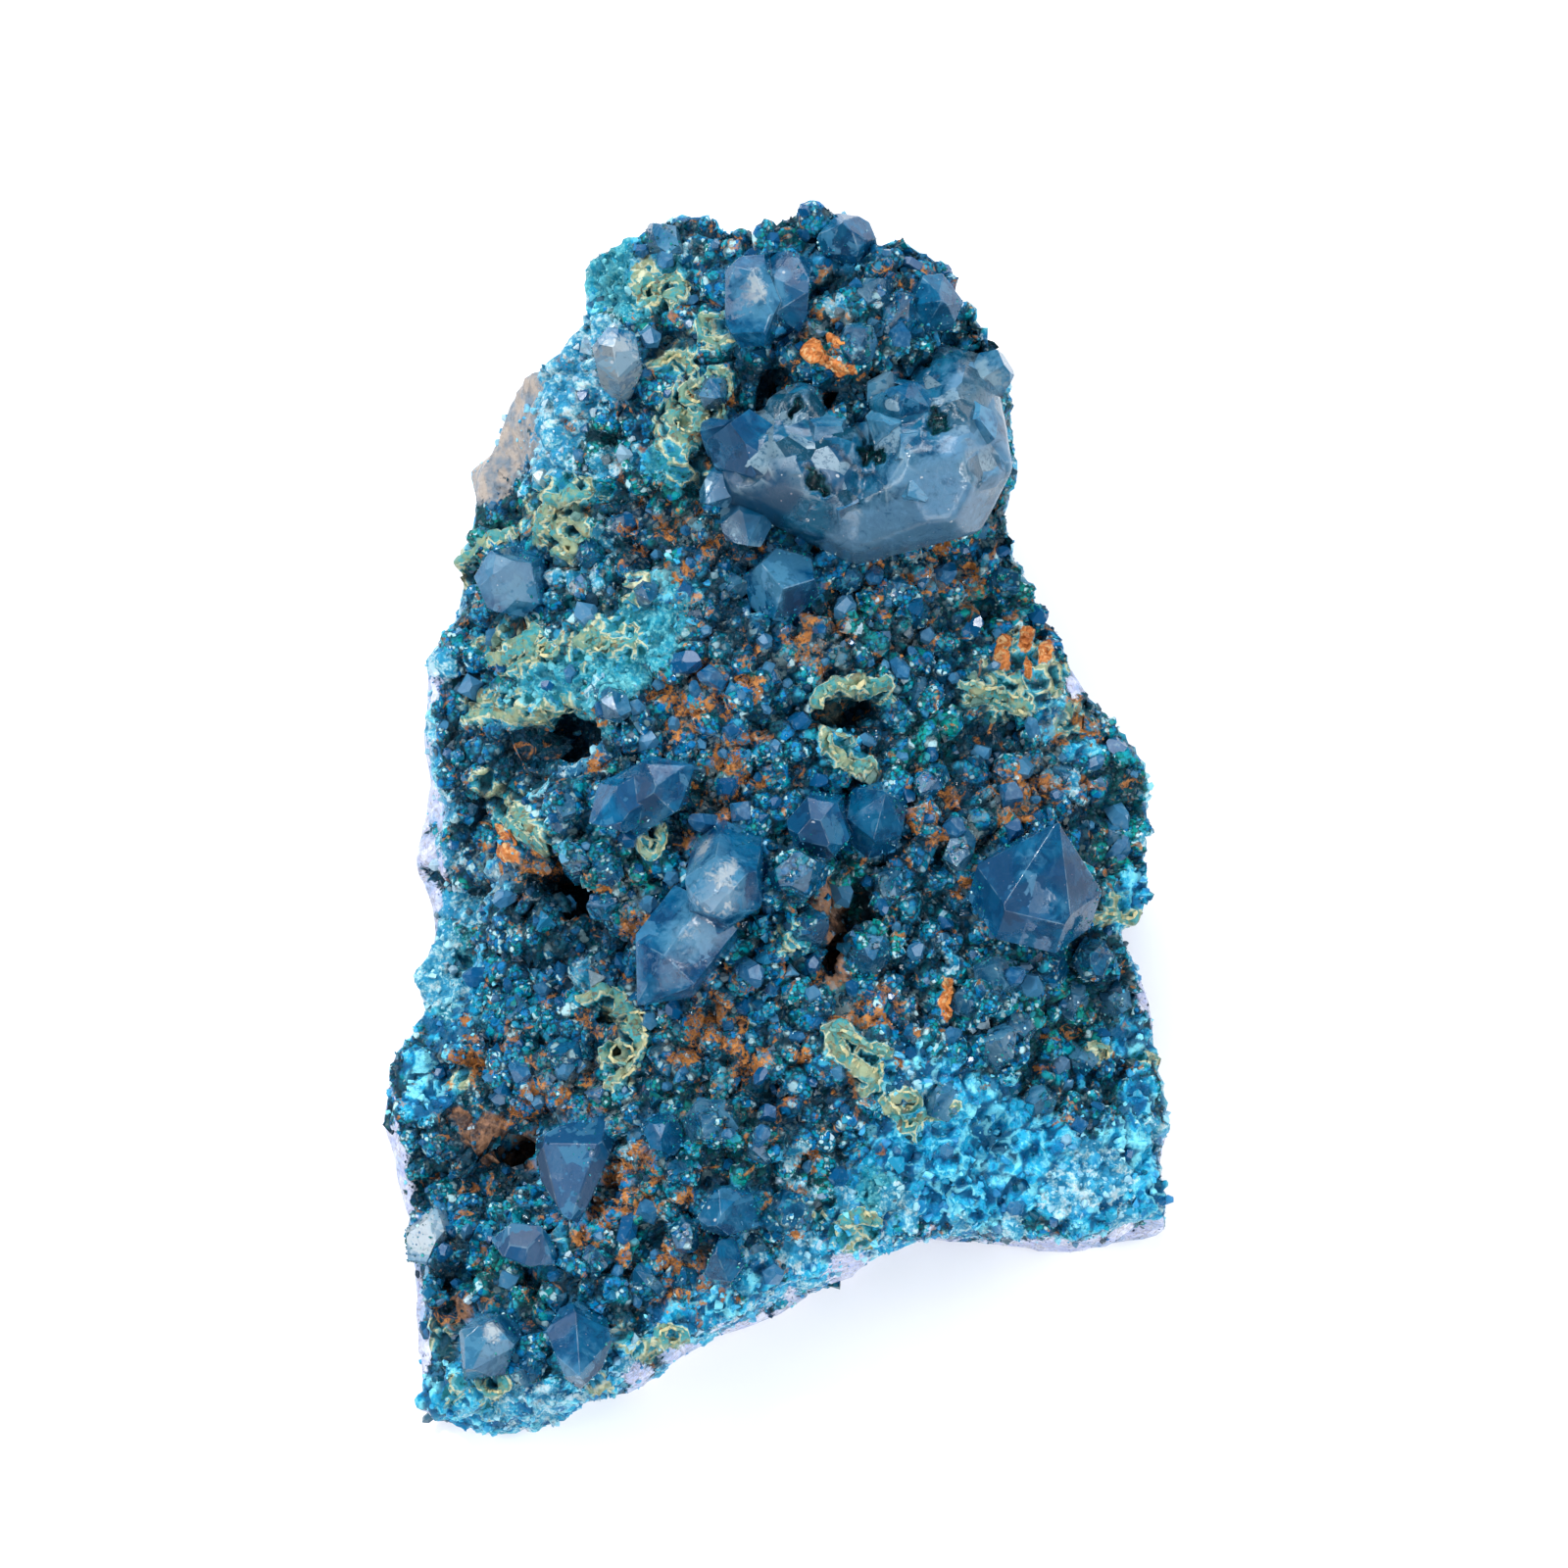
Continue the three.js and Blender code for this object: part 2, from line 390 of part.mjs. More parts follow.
// The relief as a block: a jittered grid of heights above a flat floor.
function reliefBlock() {
  const random = randomSource(11);
  const cells = Math.ceil((2 * REACH) / GRID_STEP);
  const rows = Math.ceil((2 * (REACH + 14)) / GRID_STEP);
  const positions = [];
  const index = [];
  const stride = cells + 1;
  for (let row = 0; row <= rows; row += 1) {
    for (let column = 0; column <= cells; column += 1) {
      const inside = column > 0 && column < cells && row > 0 && row < rows;
      const wander = inside ? GRID_JITTER * GRID_STEP : 0;
      const x = (column - cells / 2) * GRID_STEP + wander * (2 * random() - 1);
      const y = (row - rows / 2) * GRID_STEP + wander * (2 * random() - 1);
      positions.push(x, y, reliefHeight(x, y));
    }
  }
  for (let row = 0; row < rows; row += 1) {
    for (let column = 0; column < cells; column += 1) {
      const corner = row * stride + column;
      if ((row + column) % 2 === 0) {
        index.push(corner, corner + 1, corner + stride + 1);
        index.push(corner, corner + stride + 1, corner + stride);
      } else {
        index.push(corner, corner + 1, corner + stride);
        index.push(corner + 1, corner + stride + 1, corner + stride);
      }
    }
  }
  closeBlock(positions, index, stride, cells, rows);
  const geometry = new THREE.BufferGeometry();
  geometry.setAttribute("position", new THREE.Float32BufferAttribute(positions, 3));
  geometry.setIndex(index);
  return solidFrom(geometry);
}

// Adds the block's sides, down to one point below the middle of its flat floor.
function closeBlock(positions, index, stride, cells, rows) {
  const edge = [];
  for (let column = 0; column < cells; column += 1) {
    edge.push(column);
  }
  for (let row = 0; row < rows; row += 1) {
    edge.push(row * stride + cells);
  }
  for (let column = cells; column > 0; column -= 1) {
    edge.push(rows * stride + column);
  }
  for (let row = rows; row > 0; row -= 1) {
    edge.push(row * stride);
  }
  const firstLow = positions.length / 3;
  for (const corner of edge) {
    positions.push(positions[corner * 3], positions[corner * 3 + 1], BLOCK_FLOOR);
  }
  const middle = positions.length / 3;
  positions.push(0, 0, BLOCK_FLOOR);
  edge.forEach((corner, step) => {
    const following = (step + 1) % edge.length;
    const low = firstLow + step;
    const nextLow = firstLow + following;
    index.push(corner, low, nextLow, corner, nextLow, edge[following]);
    index.push(middle, nextLow, low);
  });
}

// The rim and the foot of the wall as plan rings, running anticlockwise.
function wallOutlines() {
  const rim = RIM.map(([across, up]) => rockPoint(across, up));
  const foot = rim.map((point, step) => {
    const before = rim.at(step - 1);
    const after = rim[(step + 1) % rim.length];
    const outward = new THREE.Vector3(before.y - after.y, after.x - before.x, 0).normalize();
    return outward.multiplyScalar(RIM[step][2]).add(point).setZ(0);
  });
  return { rim: rim.reverse(), foot: foot.reverse() };
}

function wallRing(rim, foot, share, height, push) {
  return rim.map((rimPoint, step) => {
    const footPoint = foot[step];
    const x = THREE.MathUtils.lerp(footPoint.x, rimPoint.x, share);
    const y = THREE.MathUtils.lerp(footPoint.y, rimPoint.y, share);
    const outward = new THREE.Vector2(x, y).normalize().multiplyScalar(push(step));
    return new THREE.Vector3(x + outward.x, y + outward.y, height(rimPoint.z));
  });
}

function wallSolid() {
  const random = randomSource(29);
  const { rim, foot } = wallOutlines();
  const rough = () => WALL_ROUGHNESS * (random() - 0.5);
  const even = () => 0;
  return stackRings([
    wallRing(rim, foot, 0, () => 0, () => -CHIP_INSET * random()),
    wallRing(rim, foot, 0.05, () => CHIP_HEIGHT, even),
    wallRing(rim, foot, 0.4, (top) => Math.max(0.42 * top, CHIP_HEIGHT + 0.8), rough),
    wallRing(rim, foot, 0.8, (top) => Math.max(0.76 * top, CHIP_HEIGHT + 1.6), rough),
    wallRing(rim, foot, 1, (top) => Math.max(top, CHIP_HEIGHT + 2.4) + RIM_ALLOWANCE, even),
    wallRing(rim, foot, 1, () => WALL_TOP, even),
  ]);
}

// A convex solid with quartz's faces, its long axis along +Z and its root's centre at the origin.
// Every face is moved out by `grown`. A tip has six faces, or three where it is blunt, and a
// crystal without sides is a tip alone.
function quartzGeometry(crystal, seed, grown) {
  const { width, length, root, cap, flat = 1, sides = true, blunt, pointed } = crystal;
  const random = randomSource(seed);
  const uneven = () => 1 + FACE_UNEVENNESS * (2 * random() - 1);
  const faces = [{ normal: new THREE.Vector3(0, 0, -1), reach: root }];
  if (cap) {
    faces.push({ normal: new THREE.Vector3(0, 0, 1), reach: cap });
  }
  for (let side = 0; side < 6; side += 1) {
    const turn = (side * Math.PI) / 3;
    const squeeze = side % 3 === 0 ? flat : 1;
    const level = new THREE.Vector3(Math.cos(turn), Math.sin(turn), 0);
    const tip = level.clone().multiplyScalar(Math.sin(RHOMB_SLOPE));
    tip.z = Math.cos(RHOMB_SLOPE);
    if (sides) {
      faces.push({ normal: level, reach: (width / 2) * squeeze * uneven() });
    }
    const lag = side % 2 === 0 ? 1 : pointed ? POINTED_LAG : uneven() + 0.06;
    if (lag === 1 || !blunt) {
      faces.push({ normal: tip, reach: length * tip.z * lag });
    }
  }
  faces.forEach((face) => {
    face.reach += grown;
  });
  return new ConvexGeometry(cornersOf(faces));
}

// The corners of the convex solid that lies behind every face.
function cornersOf(faces) {
  const corners = [];
  const matrix = new THREE.Matrix3();
  for (let a = 0; a < faces.length; a += 1) {
    for (let b = a + 1; b < faces.length; b += 1) {
      for (let c = b + 1; c < faces.length; c += 1) {
        const trio = [faces[a], faces[b], faces[c]];
        const [p, q, r] = trio.map((face) => face.normal);
        matrix.set(p.x, p.y, p.z, q.x, q.y, q.z, r.x, r.y, r.z);
        if (Math.abs(matrix.determinant()) < 1e-4) {
          continue;
        }
        const corner = new THREE.Vector3(...trio.map((face) => face.reach));
        corner.applyMatrix3(matrix.clone().invert());
        const behindAll = faces.every((face) => face.normal.dot(corner) < face.reach + 1e-6);
        const isNew = corners.every((other) => other.distanceTo(corner) > 0.02);
        if (behindAll && isNew) {
          corners.push(corner);
        }
      }
    }
  }
  return corners;
}

// A crystal stood on the rock. `axis` points to its tip.
function standCrystal(crystal, place, axis, seed, grown = 0) {
  const geometry = quartzGeometry(crystal, seed, grown);
  const turned = new THREE.Quaternion().setFromUnitVectors(new THREE.Vector3(0, 0, 1), axis);
  const twist = THREE.MathUtils.degToRad(crystal.twist);
  geometry.rotateZ(twist);
  geometry.applyQuaternion(turned);
  geometry.translate(place.x, place.y, place.z);
  return solidFrom(geometry);
}

function seatedCrystal(spec, seed, grown = 0) {
  const place = rockPoint(...spec.at).addScaledVector(FACE_OUT, spec.rise);
  return standCrystal({ root: SEATED_ROOT, ...spec }, place, faceDirection(...spec.axis), seed, grown);
}

// The hole for a seated crystal: its own sides, moved out by the gap and carried past its tip.
function socket(spec, seed) {
  const opening = { length: spec.length + SOCKET_REACH, cap: undefined, blunt: true };
  return seatedCrystal({ ...spec, ...opening }, seed, SEAT_GAP);
}

// A small crystal fused to the rock: a blunt prism where it is wide, and a tip alone where not.
function fusedCrystal([across, up, width, leanAcross, leanUp, twist], seed) {
  const prism = { length: 0.95 * width, root: FUSED_ROOT, blunt: true };
  const tip = { length: 0.65 * width, root: 0.25 * width, sides: false };
  const crystal = { width, twist, ...(width > TIP_WIDTH ? prism : tip) };
  return standCrystal(crystal, rockPoint(across, up), faceDirection(leanAcross, leanUp, 1), seed);
}

function hollow([across, up, length, breadth, depth, turn]) {
  const bite = new THREE.OctahedronGeometry(1, 1);
  bite.scale(length / 2, breadth / 2, depth);
  bite.rotateZ(THREE.MathUtils.degToRad(turn));
  const place = rockPoint(across, up);
  bite.translate(place.x, place.y, place.z + 0.15 * depth);
  return solidFrom(bite);
}

// A round-edged wall or finger along a path of face places, half sunk in the rock.
function standingRib(places, radius) {
  const points = places.map(([across, up]) =>
    rockPoint(across, up).addScaledVector(FACE_OUT, 0.35 * radius));
  const section = new THREE.Shape();
  for (let side = 0; side < RIM_SIDES; side += 1) {
    const turn = (side * 2 * Math.PI) / RIM_SIDES;
    const draw = side === 0 ? "moveTo" : "lineTo";
    section[draw](radius * Math.cos(turn), radius * Math.sin(turn));
  }
  return solidFrom(new THREE.ExtrudeGeometry(section, {
    steps: RIM_STEPS,
    bevelEnabled: false,
    extrudePath: new THREE.CatmullRomCurve3(points),
  }));
}

// ---------------------------------------------------------------- the specimen's pieces

function rockSolid(sockets) {
  const body = reliefBlock().intersect(wallSolid());
  const growths = [
    ...BOX_RIMS.map((path) => standingRib(path, RIM_RADIUS)),
    ...FINGERS.map((path) => standingRib(path, FINGER_RADIUS)),
    ...FUSED_CRYSTALS.map((entry, step) => fusedCrystal(entry, FUSED_SEED + step)),
  ];
  const hollowed = body.subtract(join(HOLLOWS.map(hollow)));
  return mainPiece(hollowed.add(join(growths)).subtract(join(sockets)));
}

const rockMaterial = new THREE.MeshStandardMaterial({ color: 0x14607a, roughness: 0.85, metalness: 0 });
const quartzMaterial = new THREE.MeshStandardMaterial({ color: 0x6d9cbd, roughness: 0.25, metalness: 0 });

function namedMesh(name, solid, material) {
  const mesh = new THREE.Mesh(geometryFrom(solid), material);
  mesh.name = name;
  return mesh;
}

const specimen = new THREE.Group();
const sockets = [];
Object.entries(SEATED_CRYSTALS).forEach(([name, specs], entry) => {
  const seed = SEATED_SEED + SEEDS_PER_ENTRY * entry;
  const crystals = specs.map((spec, step) => seatedCrystal(spec, seed + step));
  specimen.add(namedMesh(name, join(crystals), quartzMaterial));
  sockets.push(...specs.map((spec, step) => socket(spec, seed + step)));
});
specimen.add(namedMesh("matrix", rockSolid(sockets), rockMaterial));
// The origin is the middle of the underside's box.
const middle = new THREE.Box3().setFromObject(specimen).getCenter(new THREE.Vector3());
specimen.position.set(-middle.x, -middle.y, 0);

export default specimen;
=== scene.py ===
import json
import math
import random
from contextlib import contextmanager

import bmesh
import bpy
import numpy as np
from mathutils import Matrix, Vector
from mathutils.bvhtree import BVHTree

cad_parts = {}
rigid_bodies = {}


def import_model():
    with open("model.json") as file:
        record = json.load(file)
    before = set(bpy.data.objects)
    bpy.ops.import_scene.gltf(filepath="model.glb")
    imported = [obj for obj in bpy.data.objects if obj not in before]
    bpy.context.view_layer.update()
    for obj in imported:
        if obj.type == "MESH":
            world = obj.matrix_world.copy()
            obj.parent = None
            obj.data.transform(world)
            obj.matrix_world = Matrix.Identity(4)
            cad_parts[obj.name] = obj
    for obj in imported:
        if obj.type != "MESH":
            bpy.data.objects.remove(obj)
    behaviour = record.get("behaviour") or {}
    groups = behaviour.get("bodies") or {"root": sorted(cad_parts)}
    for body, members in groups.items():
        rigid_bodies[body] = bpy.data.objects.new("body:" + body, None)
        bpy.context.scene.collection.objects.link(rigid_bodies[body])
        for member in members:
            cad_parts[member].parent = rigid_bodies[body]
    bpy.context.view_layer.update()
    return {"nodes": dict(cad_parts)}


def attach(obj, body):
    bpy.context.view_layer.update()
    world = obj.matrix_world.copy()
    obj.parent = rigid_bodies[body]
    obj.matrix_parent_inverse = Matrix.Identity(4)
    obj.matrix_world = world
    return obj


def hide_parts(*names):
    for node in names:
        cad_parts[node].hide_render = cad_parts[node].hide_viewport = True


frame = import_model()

MM = 0.001
scene = bpy.context.scene

# ---- the view

FRAME_SIDE = 1600  # pixels along each side of the view
PIXEL = 0.0631 * MM  # what one pixel shows on the crystal face
SIGHT_ELEVATION = math.radians(77)
SIGHT_DISTANCE = 450 * MM
FACE_MIDDLE = Vector((0.4, -1.78, 18)) * MM
FACE_MIDDLE_PIXEL = (796, 840.5)
SENSOR = 36.0  # Blender's own sensor width, in its millimetres

SIGHT_OUT = Vector((0, -math.cos(SIGHT_ELEVATION), math.sin(SIGHT_ELEVATION)))
SIGHT_UP = Vector((0, math.sin(SIGHT_ELEVATION), math.cos(SIGHT_ELEVATION)))
SIGHT_RIGHT = Vector((1, 0, 0))
FRAME_MIDDLE = (
    FACE_MIDDLE
    + SIGHT_RIGHT * (FRAME_SIDE / 2 - FACE_MIDDLE_PIXEL[0]) * PIXEL
    + SIGHT_UP * (FACE_MIDDLE_PIXEL[1] - FRAME_SIDE / 2) * PIXEL
)
EYE = FACE_MIDDLE + SIGHT_OUT * SIGHT_DISTANCE
LOOK = (FRAME_MIDDLE - EYE).normalized()
LOOK_UP = SIGHT_RIGHT.cross(LOOK).normalized()
PIXELS_PER_SLOPE = (FRAME_MIDDLE - EYE).length / PIXEL


def make_camera():
    camera = bpy.data.objects.new("camera", bpy.data.cameras.new("camera"))
    camera.location = EYE
    camera.rotation_euler = LOOK.to_track_quat("-Z", "Y").to_euler()
    camera.data.sensor_width = SENSOR
    camera.data.lens = SENSOR * PIXELS_PER_SLOPE / FRAME_SIDE
    camera.data.clip_start = 10 * MM
    camera.data.clip_end = 20.0
    scene.collection.objects.link(camera)
    scene.camera = camera


def sight_line(across, down):
    """The direction from the eye through a pixel of the view."""
    right = (across - FRAME_SIDE / 2) / PIXELS_PER_SLOPE
    up = (FRAME_SIDE / 2 - down) / PIXELS_PER_SLOPE
    return (LOOK + SIGHT_RIGHT * right + LOOK_UP * up).normalized()


def pixels_of(points):
    """The pixels at which points, rows of metres, are seen."""
    rays = points - np.array(EYE)
    right, up, depth = (rays @ np.array(axis) for axis in (SIGHT_RIGHT, LOOK_UP, LOOK))
    middle = FRAME_SIDE / 2
    return np.stack(
        [middle + PIXELS_PER_SLOPE * right / depth, middle - PIXELS_PER_SLOPE * up / depth], axis=1
    )


def face_pixel(across, up):
    """The pixel of a face place, given in the millimetres that the solids use."""
    return FACE_MIDDLE_PIXEL[0] + across * MM / PIXEL, FACE_MIDDLE_PIXEL[1] - up * MM / PIXEL


make_camera()

# ---- light and floor


def area_light(name, place, size, power):
    lamp = bpy.data.lights.new(name, "AREA")
    lamp.shape = "RECTANGLE"
    lamp.size, lamp.size_y = size
    lamp.energy = power
    holder = bpy.data.objects.new(name, lamp)
    holder.location = place
    holder.rotation_euler = (FACE_MIDDLE - Vector(place)).to_track_quat("-Z", "Y").to_euler()
    scene.collection.objects.link(holder)


scene.view_settings.view_transform = "Standard"
area_light("back_box", (-0.12, 0.55, 0.46), (0.5, 0.4), 4.1)
area_light("left_box", (-0.55, -0.05, 0.42), (0.4, 0.4), 2.3)
area_light("right_box", (0.55, 0.0, 0.42), (0.4, 0.4), 2.0)
area_light("front_box", (0.1, -0.6, 0.4), (0.5, 0.4), 2.5)
area_light("left_lamp", (-0.3, 0.2, 0.5), (0.06, 0.06), 1.6)
area_light("right_lamp", (0.3, -0.25, 0.5), (0.06, 0.06), 1.0)
scene.world = bpy.data.worlds.new("studio")
scene.world.use_nodes = True
background = scene.world.node_tree.nodes["Background"]
background.inputs["Color"].default_value = (0.95, 0.97, 1, 1)
background.inputs["Strength"].default_value = 0.22

# ---- node trees


class Term:
    """An output socket that adds, takes away, multiplies and raises as a number does."""

    def __init__(self, tree, socket):
        self.tree, self.socket = tree, socket

    def join(self, operation, first, second):
        return self.tree.node("ShaderNodeMath", {"operation": operation}, [first, second])

    def __add__(self, other):
        return self.join("ADD", self, other)

    def __sub__(self, other):
        return self.join("SUBTRACT", self, other)

    def __rsub__(self, other):
        return self.join("SUBTRACT", other, self)

    def __mul__(self, other):
        return self.join("MULTIPLY", self, other)

    def __pow__(self, other):
        return self.join("POWER", self, other)


class Tree:
    """A node tree under construction."""

    def __init__(self, group):
        self.group = group

    def node(self, kind, settings=None, values=(), output=0):
        made = self.group.nodes.new(kind)
        for name, value in (settings or {}).items():
            setattr(made, name, value)
        for key, value in values.items() if isinstance(values, dict) else enumerate(values):
            if isinstance(value, Term):
                self.group.links.new(value.socket, made.inputs[key])
            else:
                made.inputs[key].default_value = value
        return Term(self, made.outputs[output])


class Paint(Tree):
    """A material under construction. Its patterns are in millimetres of the object."""

    def __init__(self, name):
        self.material = bpy.data.materials.new(name)
        self.material.use_nodes = True
        super().__init__(self.material.node_tree)
        self.group.nodes.clear()
        self.place = self.scaled(self.node("ShaderNodeTexCoord", output="Object"), 1 / MM)

    def vector(self, operation, *values):
        return self.node("ShaderNodeVectorMath", {"operation": operation}, values)

    def scaled(self, vector, amount):
        values = {0: vector, "Scale": amount}
        return self.node("ShaderNodeVectorMath", {"operation": "SCALE"}, values)

    def noise(self, size, detail=2.0, roughness=0.55, distortion=0.0):
        """Cloudy noise whose blotches are about `size` millimetres."""
        values = {"Vector": self.place, "Scale": 1 / size, "Detail": detail}
        values |= {"Roughness": roughness, "Distortion": distortion}
        return self.node("ShaderNodeTexNoise", values=values)

    def cells(self, size, feature="F1", output="Distance"):
        values = {"Vector": self.place, "Scale": 1 / size}
        return self.node("ShaderNodeTexVoronoi", {"feature": feature}, values, output)

    def parts(self, colour):
        """The three numbers of a colour."""
        return [self.node("ShaderNodeSeparateColor", values=[colour], output=k) for k in range(3)]

    def level(self, value):
        """A grey of this lightness."""
        return self.node("ShaderNodeCombineColor", values=[value, value, value])

    def slanted(self, surface, cell, amount):
        """A surface direction tilted by the colour of a cell."""
        slant = self.scaled(self.vector("SUBTRACT", cell, (0.5, 0.5, 0.5)), amount)
        return self.vector("NORMALIZE", self.vector("ADD", surface, slant))

    def field(self, name):
        """A number stored on the mesh."""
        return self.node("ShaderNodeAttribute", {"attribute_name": name}, output="Fac")

    def step(self, value, low, high):
        """A soft step: 0 at low, 1 at high."""
        settings = {"interpolation_type": "SMOOTHSTEP"}
        return self.node("ShaderNodeMapRange", settings, [value, low, high, 0.0, 1.0])

    def span(self, value, low, high):
        """A number from 0 to 1 spread between two others."""
        return self.node("ShaderNodeMapRange", values=[value, 0.0, 1.0, low, high])

    def mix(self, share, first, second, blend="MIX"):
        first, second = (c if isinstance(c, Term) else (*c, 1) for c in (first, second))
        settings = {"data_type": "RGBA", "blend_type": blend}
        return self.node("ShaderNodeMix", settings, {0: share, 6: first, 7: second}, output=2)

    def over(self, colour, *layers):
        """The colour with layers, each a share and a colour, laid over it in turn."""
        for share, layer in layers:
            colour = self.mix(share, colour, layer)
        return colour

    def bump(self, height, distance, strength=1.0):
        values = {"Height": height, "Distance": distance * MM, "Strength": strength}
        return self.node("ShaderNodeBump", values=values)

    def finish(self, values, volume=None):
        surface = self.node("ShaderNodeBsdfPrincipled", values=values)
        made = self.group.nodes.new("ShaderNodeOutputMaterial")
        self.group.links.new(surface.socket, made.inputs["Surface"])
        if volume:
            self.group.links.new(volume.socket, made.inputs["Volume"])
        return self.material

    def rough(self, colour, grit, low, high, distance, strength):
        """The finish of a rough crust, by the grit in it."""
        return self.finish(
            {
                "Base Color": colour,
                "Roughness": self.span(grit, low, high),
                "Normal": self.bump(grit, distance, strength),
            }
        )


def tone(red, green, blue):
    """A display colour, 0 to 255, as the linear colour that the shaders take."""

    def linear(level):
        level /= 255
        return level / 12.92 if level <= 0.04045 else ((level + 0.055) / 1.055) ** 2.4

    return linear(red), linear(green), linear(blue)


# ABYSS is the dark of painted shade in gaps, creases, pits and at the foot of walls, and of dark
# specks in the quartz.
ABYSS = tone(0, 34, 50)
NAVY = tone(0, 68, 106)
DEEP_BLUE = tone(0, 112, 172)
DEEP_TEAL = tone(0, 144, 162)
GREEN_TEAL = tone(0, 138, 124)
SKY_BLUE = tone(34, 144, 200)
TURQUOISE = tone(24, 158, 202)
AQUA = tone(124, 214, 230)
OLIVE = tone(102, 136, 118)
CREAM = tone(200, 200, 166)
RUST = tone(156, 100, 52)
ORANGE = tone(196, 122, 66)
LIGHT_RUST = tone(192, 130, 72)
UMBER = tone(84, 62, 48)
FROST = tone(184, 214, 230)
GLINT = tone(178, 218, 226)
PALE_TEAL = tone(44, 150, 176)
LAVENDER = tone(172, 182, 220)
TAN = tone(164, 154, 146)
DUST = tone(100, 118, 122)

# ---- noise on points


HASH_STEPS = np.array([12.9898, 78.233, 37.719])  # they only have to be uneven
HASH_GAIN = 43758.5453


def scatter(cells, seed):
    """Repeatable numbers from 0 to 1, three for each lattice cell."""
    base = cells @ HASH_STEPS + 0.618 * seed
    numbers = [np.modf(np.abs(np.sin(base + k) * HASH_GAIN))[0] for k in (0, 1.7, 3.1)]
    return np.stack(numbers, axis=1)


def smooth(x):
    x = np.clip(x, 0, 1)
    return x * x * (3 - 2 * x)


def cloud(points, size, seed, octaves=1):
    """Smooth noise from -1 to 1 at points in millimetres."""
    total = np.zeros(len(points))
    strength, most = 1.0, 0.0
    for octave in range(octaves):
        at = points * (2**octave / size)
        low = np.floor(at)
        part = smooth(at - low)
        value = np.zeros(len(points))
        for corner in np.ndindex(2, 2, 2):
            weight = np.prod(np.where(np.array(corner) == 1, part, 1 - part), axis=1)
            value += weight * scatter(low + corner, seed + octave)[:, 0]
        total += strength * (2 * value - 1)
        most += strength
        strength *= 0.5
    return total / most


def clouds(points, size, seeds):
    """Columns of smooth noise, one for each seed."""
    return np.stack([cloud(points, size, seed, 2) for seed in seeds], axis=1)


def worley(points, size, seed):
    """How far the nearest two scattered centres are, in cells, and the nearest one's number."""
    at = points / size
    low = np.floor(at)
    near = np.full(len(points), 9.0)
    second = near.copy()
    number = np.zeros(len(points))
    for offset in np.ndindex(3, 3, 3):
        cell = low + np.array(offset) - 1
        spots = scatter(cell, seed)
        gap = np.linalg.norm(cell + spots - at, axis=1)
        closer = gap < near
        second = np.where(closer, near, np.minimum(second, gap))
        number = np.where(closer, spots[:, 0], number)
        near = np.where(closer, gap, near)
    return near, second, number


# ---- meshes


def new_piece(name, mesh, material=None):
    mesh.name = name
    piece = bpy.data.objects.new(name, mesh)
    scene.collection.objects.link(piece)
    if material:
        mesh.materials.clear()
        mesh.materials.append(material)
    return piece


def vectors(items, name):
    """The vectors of that name that the items of a mesh hold, as rows."""
    flat = np.empty(len(items) * 3)
    items.foreach_get(name, flat)
    return flat.reshape(-1, 3)


def places(mesh):
    return vectors(mesh.vertices, "co")


def normals(mesh):
    return vectors(mesh.vertex_normals, "vector")


def mesh_of(name, corners, faces):
    mesh = bpy.data.meshes.new(name)
    mesh.from_pydata(corners, [], faces)
    mesh.update()
    return mesh


def to_eye(mesh):
    """How far each corner of the mesh is turned to the eye: 1 is straight at it."""
    return normals(mesh) @ np.array(SIGHT_OUT)


def put(mesh, points):
    mesh.vertices.foreach_set("co", points.ravel())
    mesh.update()


def store(mesh, name, values, domain="POINT"):
    field = mesh.attributes.new(name, "FLOAT", domain)
    field.data.foreach_set("value", np.asarray(values, dtype=np.float32))


@contextmanager
def shell_of(mesh):
    """The mesh opened as a shell that can be cut, and written back at the end."""
    shell = bmesh.new()
    shell.from_mesh(mesh)
    yield shell
    shell.to_mesh(mesh)
    shell.free()


def taken_apart(shell):
    """The corners and the faces of a shell, which goes."""
    bmesh.ops.recalc_face_normals(shell, faces=shell.faces)
    shell.verts.index_update()
    corners = [v.co.copy() for v in shell.verts]
    faces = [tuple(v.index for v in f.verts) for f in shell.faces]
    shell.free()
    return corners, faces


def drop_fields(mesh):
    for layer in [a.name for a in mesh.attributes if not a.is_required and not a.is_internal]:
        mesh.attributes.remove(mesh.attributes[layer])


def welded_copy(node):
    """A copy of a node's mesh whose loose triangles are joined."""
    mesh = frame["nodes"][node].data.copy()
    mesh.materials.clear()
    with shell_of(mesh) as shell:
        bmesh.ops.remove_doubles(shell, verts=shell.verts, dist=0.002 * MM)
        bmesh.ops.dissolve_limit(
            shell, angle_limit=math.radians(0.5), verts=shell.verts, edges=shell.edges
        )
    drop_fields(mesh)
    return mesh


def with_modifiers(piece):
    """The piece's mesh as its modifiers leave it. The modifiers go."""
    graph = bpy.context.evaluated_depsgraph_get()
    mesh = bpy.data.meshes.new_from_object(
        piece.evaluated_get(graph), preserve_all_data_layers=True, depsgraph=graph
    )
    piece.modifiers.clear()
    return mesh


def remeshed(mesh, size):
    """The mesh built anew from cubes of a size."""
    source = new_piece("source", mesh)
    remesh = source.modifiers.new("remesh", "REMESH")
    remesh.mode = "VOXEL"
    remesh.voxel_size = size
    mesh = with_modifiers(source)
    bpy.data.objects.remove(source)
    return mesh


def tree_of(mesh):
    return BVHTree.FromPolygons([v.co for v in mesh.vertices], [p.vertices for p in mesh.polygons])


# ---- where each crust grows

